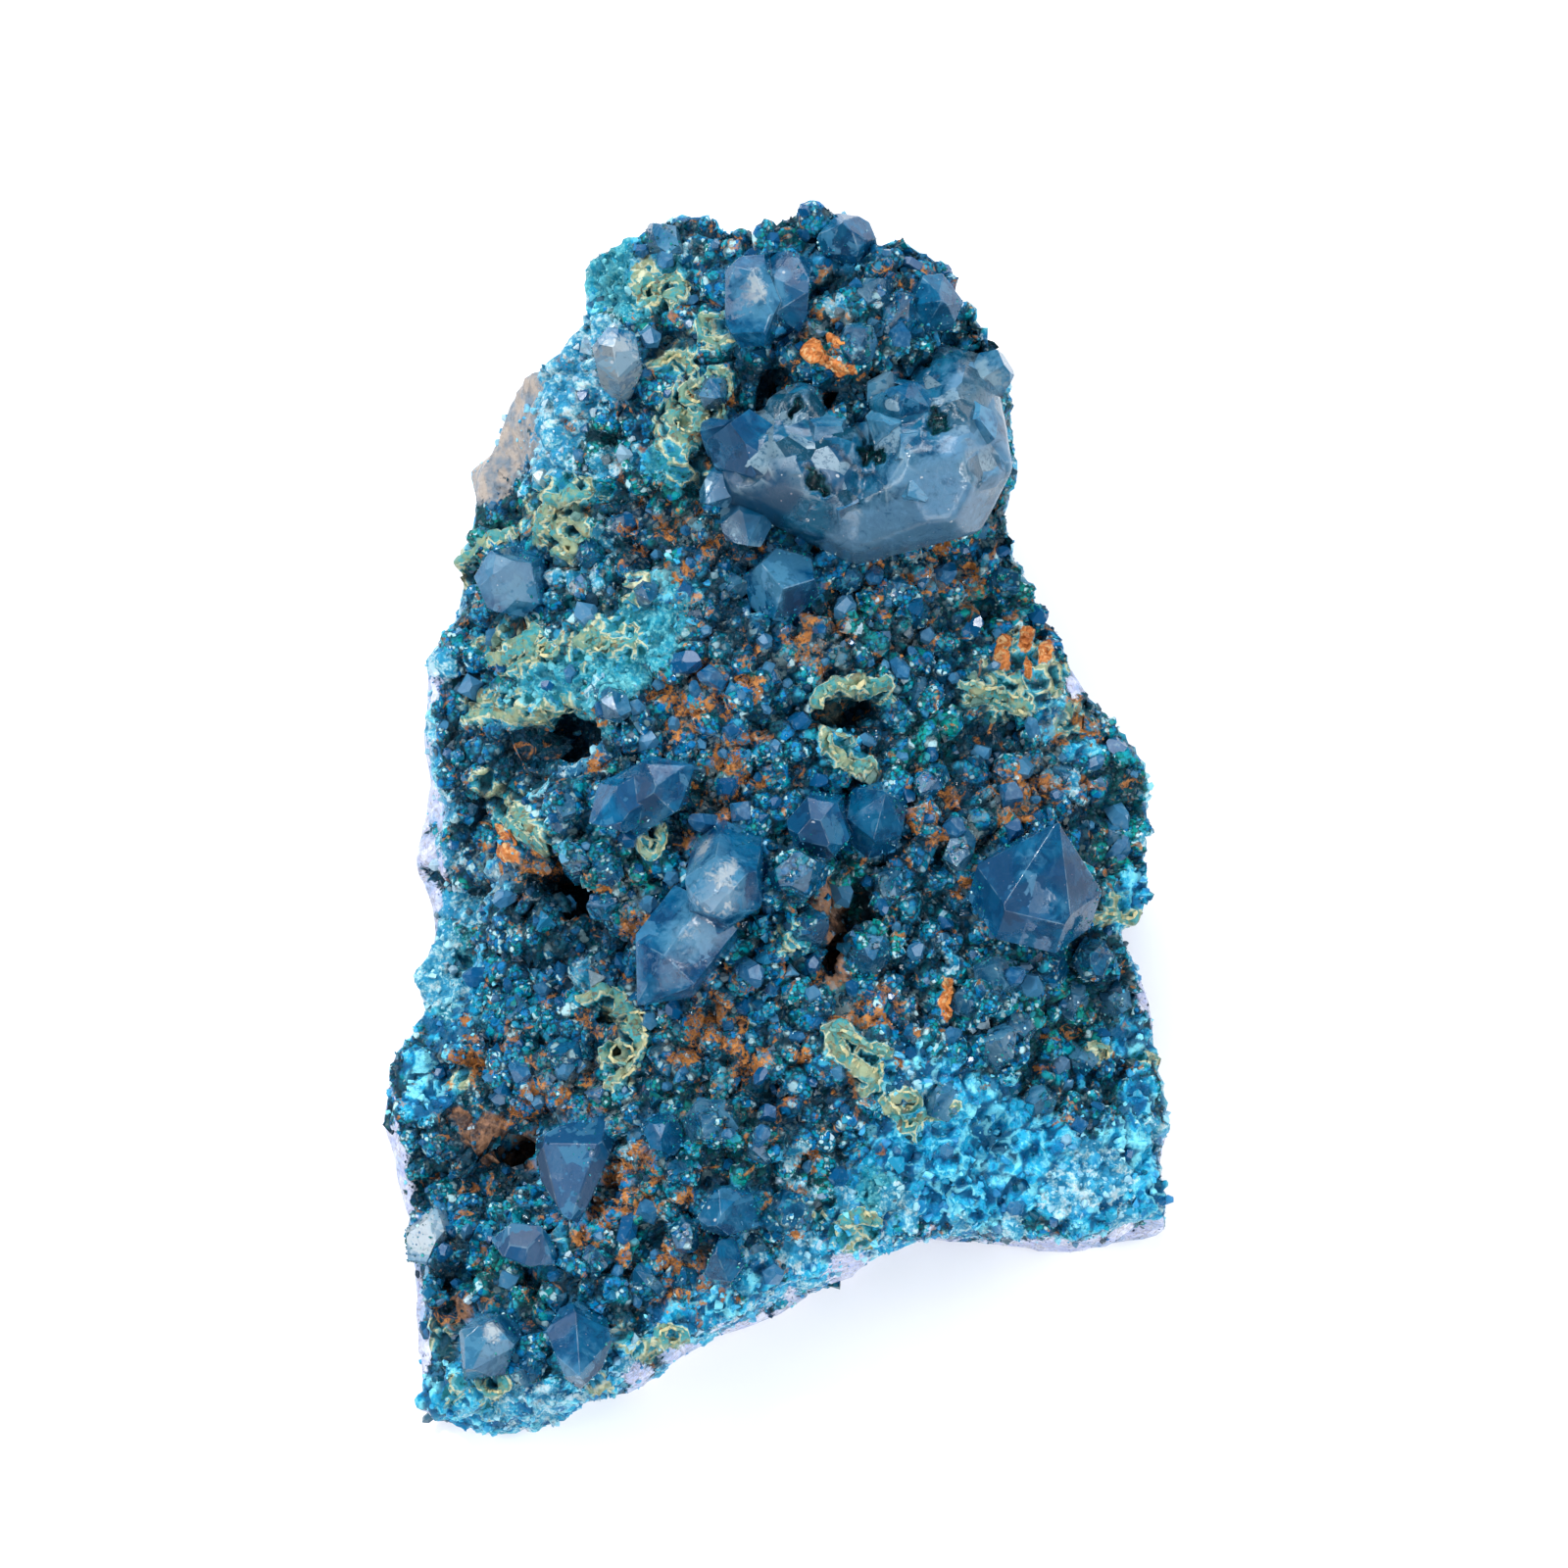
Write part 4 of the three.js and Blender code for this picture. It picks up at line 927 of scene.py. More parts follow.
def make_rock(crystals):
    mesh = solid_rock()
    points, outward, turned = places(mesh), normals(mesh), to_eye(mesh)
    pixels = pixels_of(points)
    facing, seen = smooth((turned + 0.1) / 0.5), smooth((turned + 0.25) / 0.3)
    hidden = 1 - seen
    grid = points / MM
    height = grid[:, 2]
    wander = clouds(grid, 1.8, (41, 42)) * 10
    bent = grid + 3 * clouds(grid, 4, (55, 56, 57))
    zones = {
        name: patch_weight(pixels + wander, patches) * seen for name, patches in PATCHES.items()
    }

    def spread(name, weight):
        zones[name] = np.maximum(zones[name], weight)

    def thin_out(names, weight):
        for name in names:
            zones[name] = zones[name] * (1 - weight)

    stretches = patch_weight(pixels, RUSTY_STRETCHES) * seen
    spread("rust", stretches * smooth(2.6 * cloud(grid, 1.0, 44, 3) + 0.1))
    zones["dust"] = stretches * smooth(0.4 + 1.6 * cloud(grid, 1.8, 47, 2))
    # The steep sides: crust above, broken quartz rock below.
    from_middle = np.clip(np.sum(outward[:, :2] * grid[:, :2], axis=1) / 22, 0, 1)
    steepness = smooth((0.62 - outward[:, 2]) / 0.35) * smooth(from_middle / 0.4)
    steepness = np.maximum(steepness, smooth(-outward[:, 2] / 0.3))
    shaded = patch_weight(pixels + 2 * wander, SHADED_PATCHES) * seen
    quartz_rock = steepness * smooth((7.5 - height + 5 * cloud(bent, 6, 51, 2)) / 3)
    quartz_rock *= 1 - smooth(2 * shaded)
    quartz_rock *= 1 - 0.95 * zones["turquoise"]
    spread("lavender", quartz_rock)
    thin_out(("turquoise", "olive", "rust", "green", "deep"), quartz_rock)
    spread("turquoise", hidden * 0.9 * smooth(0.35 + 1.6 * cloud(bent, 5, 52, 2)))
    brim = smooth((0.62 - turned) / 0.3) * smooth(from_middle / 0.3) * (1 - quartz_rock)
    brim *= smooth(0.75 + 1.2 * cloud(grid, 3.2, 54, 2))
    spread("turquoise", 0.95 * brim)
    spread("pale", 0.55 * brim)
    spread("tan", 0.8 * hidden * smooth(2.2 * cloud(bent, 7, 53, 3) - 0.5))
    # The thin walls stand on low ribs of the rock.
    move, hollow, wall = relief(grid, zones, facing)
    sway = pixels + wander * 0.35 + clouds(grid, 0.5, (73, 74)) * 4
    cream = np.maximum(wall_weight(sway, CREAM_WALLS), cup_weight(sway)) * seen
    orange = wall_weight(sway, ORANGE_WALLS) * seen
    built = np.maximum(cream, orange)
    move += (0.65 + 0.6 * cloud(grid, 0.7, 71, 2) - move) * smooth(1.3 * built)
    wall = np.maximum(wall * (1 - built), cream)
    spread("olive", cream)
    thin_out(("rust", "deep", "green", "pale"), built)
    # The shaded recesses get painted shade as well.
    hollow = np.maximum(hollow * (1 - built), 0.65 * smooth(shaded * 1.2))
    for across, down, radius, depth in PITS:
        gap = np.hypot(pixels[:, 0] - across, pixels[:, 1] - down) / radius
        sunk = smooth(1.2 - gap) * facing
        move -= depth * sunk
        # Sunk pits get painted shade; raised ones do not.
        if depth > 0:
            hollow = np.maximum(hollow, sunk * min(1, depth / 1.5))
    move = move * (0.55 + 0.45 * facing) * smooth(height / 1.6 - 0.1)
    points = points + outward * (move * MM)[:, None]
    points[:, 2] = np.maximum(points[:, 2], 0)
    bare = closed_up(points, crystals)
    put(mesh, points)
    # What may grow where.
    turned = to_eye(mesh)
    top = smooth((turned + 0.05) / 0.35)
    crusted = (1 - 0.8 * zones["turquoise"]) * (1 - 0.85 * zones["olive"]) * (1 - zones["lavender"])
    crusted *= (1 - 0.9 * zones["tan"]) * (1 - built) * (1 - 0.7 * zones["pale"])
    crusted *= 1 - 0.85 * zones["brown"]
    druse = np.clip(top * crusted * bare, 0, 1)
    side = hidden * smooth((height - 6) / 5) * (1 - zones["lavender"]) * 0.35 * bare
    clumps = 0.35 + 0.65 * smooth(0.5 + 2 * cloud(grid, 0.7, 46))
    shards = druse * smooth((turned - 0.45) / 0.3) * smooth(height - 4) * (1 - 0.6 * shaded)
    buds = np.clip(zones["turquoise"] - 0.8 * zones["olive"], 0, 1)
    fields = zones | {
        "ridge": wall,
        "hollow": hollow,
        "under": 1 - bare,
        "orange": orange,
        "micro": np.maximum(druse, side),
        "druse": np.maximum(druse * facing, side * 0.5),
        "shards": shards,
        "rusty": zones["rust"] ** 2 * top * bare * clumps,
        "buds": buds * top * bare,
    }
    for name, values in fields.items():
        store(mesh, name, values)
    mesh.shade_smooth()
    return mesh


MICRO_CELL = 0.28  # millimetres across one micro crystal


def micro_crystals(paint, tint):
    """The colour, the cells and the lots of a coat of micro crystals, with painted shade between
    them and painted glints on a few.
    """
    step = paint.step
    broad, lumps = paint.noise(2.6, 3), paint.noise(0.7, 2, 0.6) - 0.5
    coarse = step(paint.noise(1.4, 2), 0.5, 0.54)
    small, large = MICRO_CELL, 2.2 * MICRO_CELL
    cell = paint.mix(coarse, paint.cells(small, output="Color"), paint.cells(large, output="Color"))
    away = paint.mix(coarse, paint.level(paint.cells(small)), paint.level(paint.cells(large)))
    lots = paint.parts(cell)
    lean = (tint - 0.5) * 0.35
    green = paint.field("green") * 0.45 + lots[1] * 0.6 + (broad - 0.5) * 0.5
    blotch = paint.noise(0.9, 3, 0.6) + (lots[1] - 0.5) * 0.4
    colour = paint.over(
        DEEP_BLUE,
        (step(broad + (lots[0] - 0.5) * 0.5 + lean, 0.4, 0.6), DEEP_TEAL),
        (step(blotch + lean, 0.52, 0.68) * 0.75, NAVY),
        (step(green, 0.5, 0.62) * 0.85, GREEN_TEAL),
        (step(lots[2] + lumps * 0.5, 0.68, 0.72) * 0.7, PALE_TEAL),
        # painted glints on a few cells
        (step(lots[0] * lots[2] + lumps * 0.4, 0.52, 0.56) * 0.9, GLINT),
        # deep patches: darker crust, partly painted shade in recesses
        (paint.field("deep") * 0.55, NAVY),
        # painted shade in the gaps between the cells
        (step(away, 0.42, 0.68) * 0.8, ABYSS),
    )
    return colour, cell, lots


def crust_paint():
    paint = Paint("copper_crust")
    step, over = paint.step, paint.over
    broad, blotch, grit = paint.noise(2.8, 3), paint.noise(1.1, 3, 0.6), paint.noise(0.3, 3, 0.7)
    drift, grain = blotch - 0.5, grit - 0.5
    blue, cell, lots = micro_crystals(paint, paint.noise(0.6, 1))
    luck = [lot - 0.5 for lot in lots]
    wobble = drift * 1.4 + grain * 0.9
    # Painted shade in creases, pits and shaded recesses.
    hollow = step(paint.field("hollow") + grain * 0.5, 0.3, 0.95)

    def zone(name, low=0.38, high=0.62, sway=1.0):
        return step(paint.field(name) + wobble * sway, low, high)

    swirl = paint.noise(2.0, 4, 0.6, 1.2)
    crest = step(paint.field("ridge") + grain * 0.7, 0.6, 0.85)
    verdigris = over(tone(16, 122, 140), (step(grit, 0.45, 0.7), tone(104, 184, 186)))
    crust = over(
        TURQUOISE,
        (step(swirl + grain * 0.35, 0.5, 0.62) * 0.85, AQUA),
        (step(swirl + grain * 0.3, 0.47, 0.38) * 0.85, tone(4, 106, 162)),
        # painted shade in the crust's creases and pits
        (hollow * 0.85, tone(0, 70, 118)),
        (step(paint.noise(1.7, 3, 0.6), 0.44, 0.34) * 0.75, tone(0, 92, 146)),
        (crest * step(broad, 0.42, 0.56) * 0.6, AQUA),
        (zone("green") * 0.7, verdigris),
    )
    frost = over(
        tone(34, 134, 178),
        (step(blotch + grain * 0.6, 0.42, 0.62), tone(120, 190, 208)),
        (step(blotch * 0.6 + grit * 0.5, 0.56, 0.68) * 0.85, tone(210, 226, 232)),
    )
    wall = paint.field("ridge") + grain * 0.45
    wall_foot = over(tone(112, 188, 200), (step(lots[1], 0.4, 0.5), tone(64, 152, 172)))
    wall_top = over(
        tone(60, 142, 150),
        (step(blotch + luck[2] * 0.4, 0.4, 0.62), OLIVE),
        (step(lots[0] + grain, 0.8, 0.9) * 0.7, tone(112, 84, 54)),
        (step(broad + drift * 0.8, 0.5, 0.64) * 0.65, tone(154, 162, 128)),
    )
    box_work = over(
        tone(44, 150, 170),
        (step(blotch, 0.45, 0.6), tone(12, 96, 108)),
        (step(lots[2], 0.7, 0.75) * 0.6, SKY_BLUE),
        (step(wall, 0.2, 0.4), wall_foot),
        (step(wall, 0.5, 0.64) * 0.9, CREAM),
        (step(wall, 0.7, 0.84), wall_top),
    )
    iron = over(
        UMBER,
        (step(grit, 0.3, 0.6), RUST),
        (step(blotch + luck[1] * 0.3, 0.5, 0.66) * 0.8, LIGHT_RUST),
    )
    stain = zone("rust", 0.55, 0.8, 0.9) * step(paint.noise(0.7, 3, 0.7), 0.42, 0.52)
    veins = step(paint.noise(1.5, 3, 0.7, 0.8), 0.59, 0.65) * step(paint.field("druse"), 0.2, 0.5)
    finger = over(
        tone(150, 86, 42),
        (step(blotch + grain, 0.35, 0.6), ORANGE),
        (step(grit + luck[1] * 0.5, 0.55, 0.7), tone(196, 158, 112)),
    )
    seam = paint.noise(2.2, 4, 0.65, 1.5)
    broken = over(
        LAVENDER,
        (step(blotch + grain, 0.35, 0.75), tone(214, 219, 235)),
        (step(broad, 0.5, 0.62) * 0.7, tone(128, 160, 200)),
        (step(grit + luck[0] * 0.4, 0.6, 0.75) * 0.6, tone(150, 150, 158)),
        (step(seam, 0.47, 0.5) * step(seam, 0.53, 0.5) * 0.55, tone(116, 112, 116)),
    )
    open_crust = stain.join("MAXIMUM", zone("turquoise"), zone("pale"))
    bare_wall = over(tone(64, 48, 42), (step(blotch, 0.4, 0.6), tone(146, 108, 82)))
    colour = over(
        blue,
        (zone("turquoise"), crust),
        (zone("pale") * 0.8, frost),
        (zone("olive", 0.3, 0.5), box_work),
        # painted shade in creases, pits and shaded recesses, weaker where crust, frost or rust
        # stain lies open
        (hollow * (0.85 - open_crust * 0.7), ABYSS),
        (zone("brown", 0.35, 0.6, 0.6) * 0.9, bare_wall),
        (zone("dust", 0.5, 0.8) * step(lots[2], 0.4, 0.5) * 0.5, DUST),
        (stain.join("MAXIMUM", stain, veins * 0.8), iron),
        (zone("orange", 0.4, 0.6, 0.4), finger),
        (zone("tan"), over(TAN, (step(blotch, 0.35, 0.7), tone(104, 122, 138)))),
        (zone("lavender"), broken),
        (paint.field("under") * 0.9, tone(40, 136, 190)),
    )
    return paint.finish(
        {
            "Base Color": colour,
            "Roughness": paint.span(lots[1], 0.15, 0.65),
            "Normal": paint.slanted(paint.bump(grit * 0.6 + blotch * 0.4, 0.3, 0.7), cell, 0.8),
            "Specular IOR Level": 0.16,
        }
    )


# ---- quartz


QUARTZ_IOR = 1.544


def crown_faces(paint, colour):
    """Small flat faces where the crown is broken, and dark green crust in its hollows."""
    step, over = paint.step, paint.over
    broken, grit = paint.field("broken"), paint.noise(0.3, 3, 0.7)
    share = step(paint.noise(3.0, 2) + (broken - 0.5) * 0.8, 0.45, 0.5)
    cell = paint.mix(share, paint.cells(3.6, output="Color"), paint.cells(1.7, output="Color"))
    dark, light, _ = paint.parts(cell)
    speckled = over(tone(150, 186, 206), (step(grit, 0.5, 0.62), tone(74, 120, 150)))
    seam = step(paint.cells(3.6, "DISTANCE_TO_EDGE"), 0.03, 0.012) * (1 - share) * broken
    lining = over(tone(0, 48, 60), (step(grit, 0.5, 0.7), tone(24, 128, 128)))
    colour = over(
        colour,
        (broken * step(dark, 0.62, 0.64) * 0.85, tone(8, 74, 98)),
        (broken * step(light, 0.7, 0.72) * 0.75, speckled),
        (seam * 0.6, tone(176, 208, 224)),
        (step(paint.field("vug") + (grit - 0.5) * 0.8, 0.4, 0.7), lining),
    )
    return colour, paint.slanted(paint.bump(grit, 0.05, 0.5), cell, broken * 0.6)


def quartz_paint(name, tones, clear, absorbed, density, gloss=0.2, crown=False, coat=0.0):
    """Quartz with clouds of milk, specks, and faces that differ in tone, by painted light and shade
    and by chance.
    """
    paint = Paint(name)
    step, over, field = paint.step, paint.over, paint.field
    shallow, deep, milk = tones
    veil, wisps = paint.noise(1.8, 4, 0.6, 0.6), paint.noise(0.5, 4, 0.65, 1.2)
    clouded, specks, spots = paint.noise(0.8, 4, 0.7, 0.8), paint.cells(0.45), paint.cells(1.2)
    milkiness = field("milk") + (veil - 0.5) * 1.4 + (wisps - 0.5) * 0.5
    dark = step(field("deep") + (veil - 0.5) * 0.6, 0.4, 0.7)
    colour = over(
        deep,
        (step(veil, 0.35, 0.65), shallow),
        (step(milkiness, 0.35, 0.85) * 0.8, milk),
        (step(field("white") + (wisps - 0.5) * 1.3, 0.45, 0.85) * 0.9, tone(206, 220, 228)),
        (dark * 0.9, deep),
    )
    # Painted light and shade: each face is lightened or darkened by its stored facet.
    colour = paint.mix(0.7, colour, paint.level(paint.span(field("facet"), 0.34, 1.32)), "MULTIPLY")
    if crown:
        colour, slanted = crown_faces(paint, colour)
    elif coat:
        crust, cell, _ = micro_crystals(paint, field("facet"))
        share = step(paint.noise(0.9, 3, 0.65), 0.62 - coat * 0.3, 0.68 - coat * 0.3)
        colour = over(colour, (share * 0.85, crust))
        slanted = paint.slanted(paint.bump(wisps, 0.05, 0.5), cell, share * 0.6)
    else:
        flake = paint.cells(2.3, output="Color")
        lot = paint.parts(flake)[0]
        chipped = step(paint.noise(1.6, 3, 0.6), 0.5, 0.53)
        colour = over(
            colour,
            (chipped * 0.45, over(deep, (lot, shallow))),
            (chipped * step(lot, 0.8, 0.82) * 0.4, milk),
        )
        slanted = paint.slanted(paint.bump(wisps, 0.04, 0.5), flake, chipped * 0.3)
    colour = over(
        colour,
        (step(clouded, 0.5, 0.66) * (1 - dark * 0.85) * 0.27, milk),
        (step(clouded, 0.46, 0.32) * 0.45, tone(0, 70, 108)),
        # painted highlight: a pale tone along the rims, partly the crystal's own pale edge
        (field("rim") * step(paint.noise(0.8, 3), 0.46, 0.6) * 0.35, tone(140, 186, 210)),
        (step(specks, 0.13, 0.06) * step(wisps, 0.53, 0.6) * 0.8, tone(226, 236, 242)),
        (step(spots, 0.13, 0.08) * step(veil, 0.56, 0.6) * 0.85, tone(222, 232, 240)),
        (step(specks, 0.12, 0.07) * step(wisps, 0.47, 0.4) * 0.7, ABYSS),
    )
    values = {"Color": (*absorbed, 1), "Density": density}
    return paint.finish(
        {
            "Base Color": colour,
            "Roughness": paint.span(wisps, 0.06, 0.26) + dark * 0.2,
            "Normal": slanted,
            "IOR": QUARTZ_IOR,
            "Specular IOR Level": gloss,
            "Transmission Weight": clear,
        },
        paint.node("ShaderNodeVolumeAbsorption", values=values),
    )


QUARTZ_PATCHES = {
    "milk": [
        (960, 520, 64), (900, 548, 46), (860, 560, 20), (1000, 460, 40), (523, 590, 30),
        (495, 1370, 34), (1005, 480, 40), (735, 905, 36), (725, 865, 24), (705, 958, 30),
        (490, 1372, 36), (434, 1255, 34), (630, 385, 32), (1085, 926, 16), (1045, 880, 12),
        (1000, 400, 34), (1020, 470, 26), (940, 530, 40), (775, 300, 34), (590, 1395, 18),
        (540, 595, 20), (800, 578, 36), (755, 518, 12), (900, 920, 14), (670, 830, 16),
    ],
    "white": [
        (735, 912, 24), (720, 864, 15), (748, 880, 11), (712, 950, 16), (620, 388, 24),
        (775, 300, 16), (434, 1258, 26), (632, 372, 34), (505, 1358, 12), (1082, 930, 12),
        (590, 600, 12), (775, 285, 12),
    ],
    "deep": [
        (592, 1186, 62), (536, 1272, 26), (815, 825, 26), (1015, 875, 26), (780, 530, 24),
        (850, 480, 26), (785, 490, 42), (1035, 925, 32), (570, 1345, 26), (655, 815, 26),
        (838, 850, 22), (820, 295, 14), (700, 880, 14), (815, 610, 14), (750, 440, 20),
        (540, 1260, 24), (765, 500, 36), (610, 1180, 40), (1090, 905, 26), (900, 880, 16),
    ],
}
LIGHT_SIDE = (0.35, 0.55, 0.75)  # which way the lighter faces of a crystal look
CROWN_LIGHT_SIDE = (0.2, 0.75, 0.6)
# The other crystals whose lighter faces look another way.
LIGHT_SIDES = {"quartz_east_pyramid": (-0.75, 0.1, 0.65), "quartz_corner_blue": (-0.6, 0.5, 0.6)}


def tone_facets(mesh, chance, spread, side=LIGHT_SIDE, luck=1):
    """Each face gets a painted lightness: painted light where it looks to the light side, painted
    shade where it looks away, and a random tone by chance.
    """
    lean = Vector(side).normalized()
    values = []
    for face in mesh.polygons:
        lit = 0.5 + 2 * spread * (face.normal.dot(lean) - 0.6)
        values.append(min(1, max(0, lit + luck * chance.uniform(-spread, spread))))
    store(mesh, "facet", values, "FACE")


# Crystals whose edges are worn round: the bevel in millimetres and its steps.
WORN_EDGES = {"quartz_centre_twins": (0.13, 2)}
CROWN_VOXEL = 0.26 * MM
CROWN_ROUNDS = 8  # rounds of filling and easing
CROWN_FILL = 1.1 * MM  # how far the clefts between the crystals of the crown may fill
# Hollows in the crown, lined with dark green crust, as pits.
CROWN_VUGS = [
    (838, 492, 14, 1.3), (891, 466, 12, 1.2), (961, 430, 12, 1.0), (944, 367, 9, 0.8),
    (880, 420, 9, 0.8), (820, 415, 10, 0.9), (915, 400, 8, 0.7), (770, 440, 8, 0.6),
]
# Where the crown is broken into small faces, the rest being smooth, as patches.
BROKEN_PATCHES = [
    (850, 455, 40), (820, 420, 34), (900, 430, 44), (930, 400, 40), (955, 380, 24), (880, 500, 24),
    (870, 400, 30), (985, 405, 34), (1005, 370, 26), (800, 440, 34), (770, 470, 26),
    (1010, 480, 20),
]
# The crown's masses: boxes that hold each one's crystals, (left, top, right, bottom) in pixels.
CROWN_MASSES = [
    [(0, 425, 895, 1600)],
    [(870, 445, 1600, 1600), (952, 0, 1600, 1600)],
]


def massed(mesh):
    """The mesh with the hull of each mass laid over its crystals."""
    points = places(mesh)
    pixels = pixels_of(points)
    with shell_of(mesh) as shell:
        for boxes in CROWN_MASSES:
            chosen = np.zeros(len(points), bool)
            for box in np.array(boxes):
                chosen |= np.all((pixels > box[:2]) & (pixels < box[2:]), axis=1)
            hull_over(shell, [shell.verts.new(p) for p in points[chosen]])
        bmesh.ops.recalc_face_normals(shell, faces=shell.faces)
    return mesh


def neighbour_means(points, edges):
    total = np.zeros_like(points)
    count = np.zeros(len(points))
    for here, there in ((0, 1), (1, 0)):
        np.add.at(total, edges[:, here], points[edges[:, there]])
        np.add.at(count, edges[:, here], 1)
    return total / count[:, None]


def grown_together(name):
    """A crystal group as one mass whose clefts are filled and whose edges are a little worn."""
    mesh = remeshed(massed(welded_copy(name)), CROWN_VOXEL)
    links = np.array([tuple(e.vertices) for e in mesh.edges])
    start = points = places(mesh)
    even = 0.3 * (1 - np.clip(patch_weight(pixels_of(start), BROKEN_PATCHES), 0, 1))
    for _ in range(CROWN_ROUNDS):
        outward = normals(mesh)
        step = neighbour_means(points, links) - points
        rise = np.sum(step * outward, axis=1)
        along = step - outward * rise[:, None]
        unspent = np.linalg.norm(points - start, axis=1) < CROWN_FILL
        out = np.clip(rise, 0, None) * unspent + np.clip(rise, None, 0) * even
        points = points + outward * out[:, None] + 0.3 * along
        put(mesh, points)
    points = points + 0.5 * (neighbour_means(points, links) - points)
    put(mesh, points)
    # Convex edges are marked as rims, which the paint gives a partly painted highlight.
    sharp = -np.sum((neighbour_means(points, links) - points) * normals(mesh), axis=1)
    store(mesh, "rim", smooth(sharp / (0.02 * MM) - 0.3))
    pixels, grid = pixels_of(points), points / MM
    sunk = np.zeros(len(points))
    ragged = pixels + clouds(grid, 0.9, (83, 84)) * 15
    for across, down, radius, depth in CROWN_VUGS:
        gap = np.linalg.norm(ragged - (across, down), axis=1) / radius
        sunk = np.maximum(sunk, depth * smooth(1.5 * (1.2 - gap)))
    broken = patch_weight(pixels + 8 * cloud(grid, 2, 81)[:, None], BROKEN_PATCHES)
    facing = smooth((to_eye(mesh) + 0.1) / 0.4)
    # Each cell of the broken part is a small face, tilted its own way.
    number = worley(grid, 2.4, 82)[2]
    tilt = np.stack([np.modf(number * k)[0] - 0.5 for k in (7.3, 13.7, 29.1)], axis=1)
    rise = 0.55 * np.sum(np.sin(grid * 1.1 + 6 * tilt) * tilt, axis=1) + 0.5 * tilt[:, 0]
    move = (broken * rise - sunk) * facing * MM
    put(mesh, points + np.array(SIGHT_OUT) * move[:, None])
    store(mesh, "vug", smooth(sunk / 0.6) * facing)
    store(mesh, "broken", broken)
    return mesh


def dress(piece):
    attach(piece, "root")
    return piece


def finished_crystal(piece):
    pixels = pixels_of(places(piece.data))
    for name, patches in QUARTZ_PATCHES.items():
        store(piece.data, name, patch_weight(pixels, patches))
    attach(piece, "root")


def dress_crown(name, paint):
    mesh = grown_together(name)
    tone_facets(mesh, random.Random(1), 0.3, CROWN_LIGHT_SIDE, 0)
    mesh.shade_smooth()
    piece = new_piece(name + "_glass", mesh, paint)
    finished_crystal(piece)
    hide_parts(name)
    return piece


BEVEL_ANGLE = math.radians(12)  # edges sharper than this are bevelled


def edged(piece, width, steps):
    """The piece's mesh bevelled, its bevels marked as rims, which the paint gives a pale edge,
    partly painted highlight.
    """
    piece.data.materials.append(piece.data.materials[0])
    bevel = piece.modifiers.new("bevel", "BEVEL")
    bevel.width = width * MM
    bevel.segments = steps
    bevel.limit_method = "ANGLE"
    bevel.angle_limit = BEVEL_ANGLE
    bevel.material = 1
    finer = piece.modifiers.new("finer", "SUBSURF")
    finer.subdivision_type = "SIMPLE"
    finer.levels = finer.render_levels = 1
    mesh = with_modifiers(piece)
    store(mesh, "rim", [p.material_index for p in mesh.polygons], "FACE")
    mesh.polygons.foreach_set("material_index", [0] * len(mesh.polygons))
    mesh.materials.pop(index=1)
    if steps > 1:
        mesh.shade_smooth()
    else:
        mesh.shade_flat()
    return mesh


def dress_crystal(name, paint, chance):
    width, steps = WORN_EDGES.get(name, (0.06, 1))
    piece = new_piece(name + "_glass", shaped[name], paint)
    spread = 0.28 if steps == 1 else 0.12
    tone_facets(piece.data, chance, spread, LIGHT_SIDES.get(name, LIGHT_SIDE))
    piece.data = edged(piece, width, steps)
    finished_crystal(piece)
    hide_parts(name)


# Small crystals on the broken part of the crown: (across, up, width, lean across, lean up, twist).
CROWN_POINTS = [
    (-0.9, 22.6, 4.4, -0.3, 0.2, 5), (1.6, 24.2, 2.6, 0.2, 0.3, 30),
    (-2.2, 24.6, 2.4, -0.4, 0.2, 12), (2.9, 21.6, 2.2, 0.3, -0.4, 40),
    (4.6, 21.0, 3.0, -0.1, -0.5, 20), (3.6, 24.6, 2.8, 0.1, 0.2, 8), (5.6, 23.6, 2.2, 0.4, 0.1, 33),
    (6.9, 25.2, 2.6, -0.2, 0.2, 17), (8.1, 26.8, 2.4, 0.3, 0.3, 45), (6.6, 27.6, 1.9, -0.3, 0.1, 3),
    (8.9, 24.3, 2.0, 0.2, -0.2, 28), (10.4, 25.8, 2.4, 0.1, 0.3, 11),
    (0.6, 26.2, 2.0, -0.2, 0.4, 36), (3.2, 26.6, 1.8, 0.2, 0.1, 22),
    (10.0, 28.6, 2.2, 0.3, 0.2, 49), (6.2, 22.0, 1.6, 0.1, -0.3, 14),
    (-3.4, 22.4, 2.0, -0.6, 0, 26), (11.9, 26.2, 2.4, 0.1, -0.2, 9),
    (13.0, 28.6, 2.8, 0.3, 0.2, 34), (13.6, 23.6, 2.8, 0.5, -0.2, 21),
    (12.0, 30.8, 2.0, 0.1, 0.3, 2), (-2.2, 20.6, 2.4, -0.4, -0.3, 16),
    (9.2, 22.0, 1.8, 0.2, -0.1, 27), (11.8, 24.4, 1.6, -0.1, 0.1, 48),
    (7.8, 29.0, 1.8, -0.2, 0.3, 13),
]
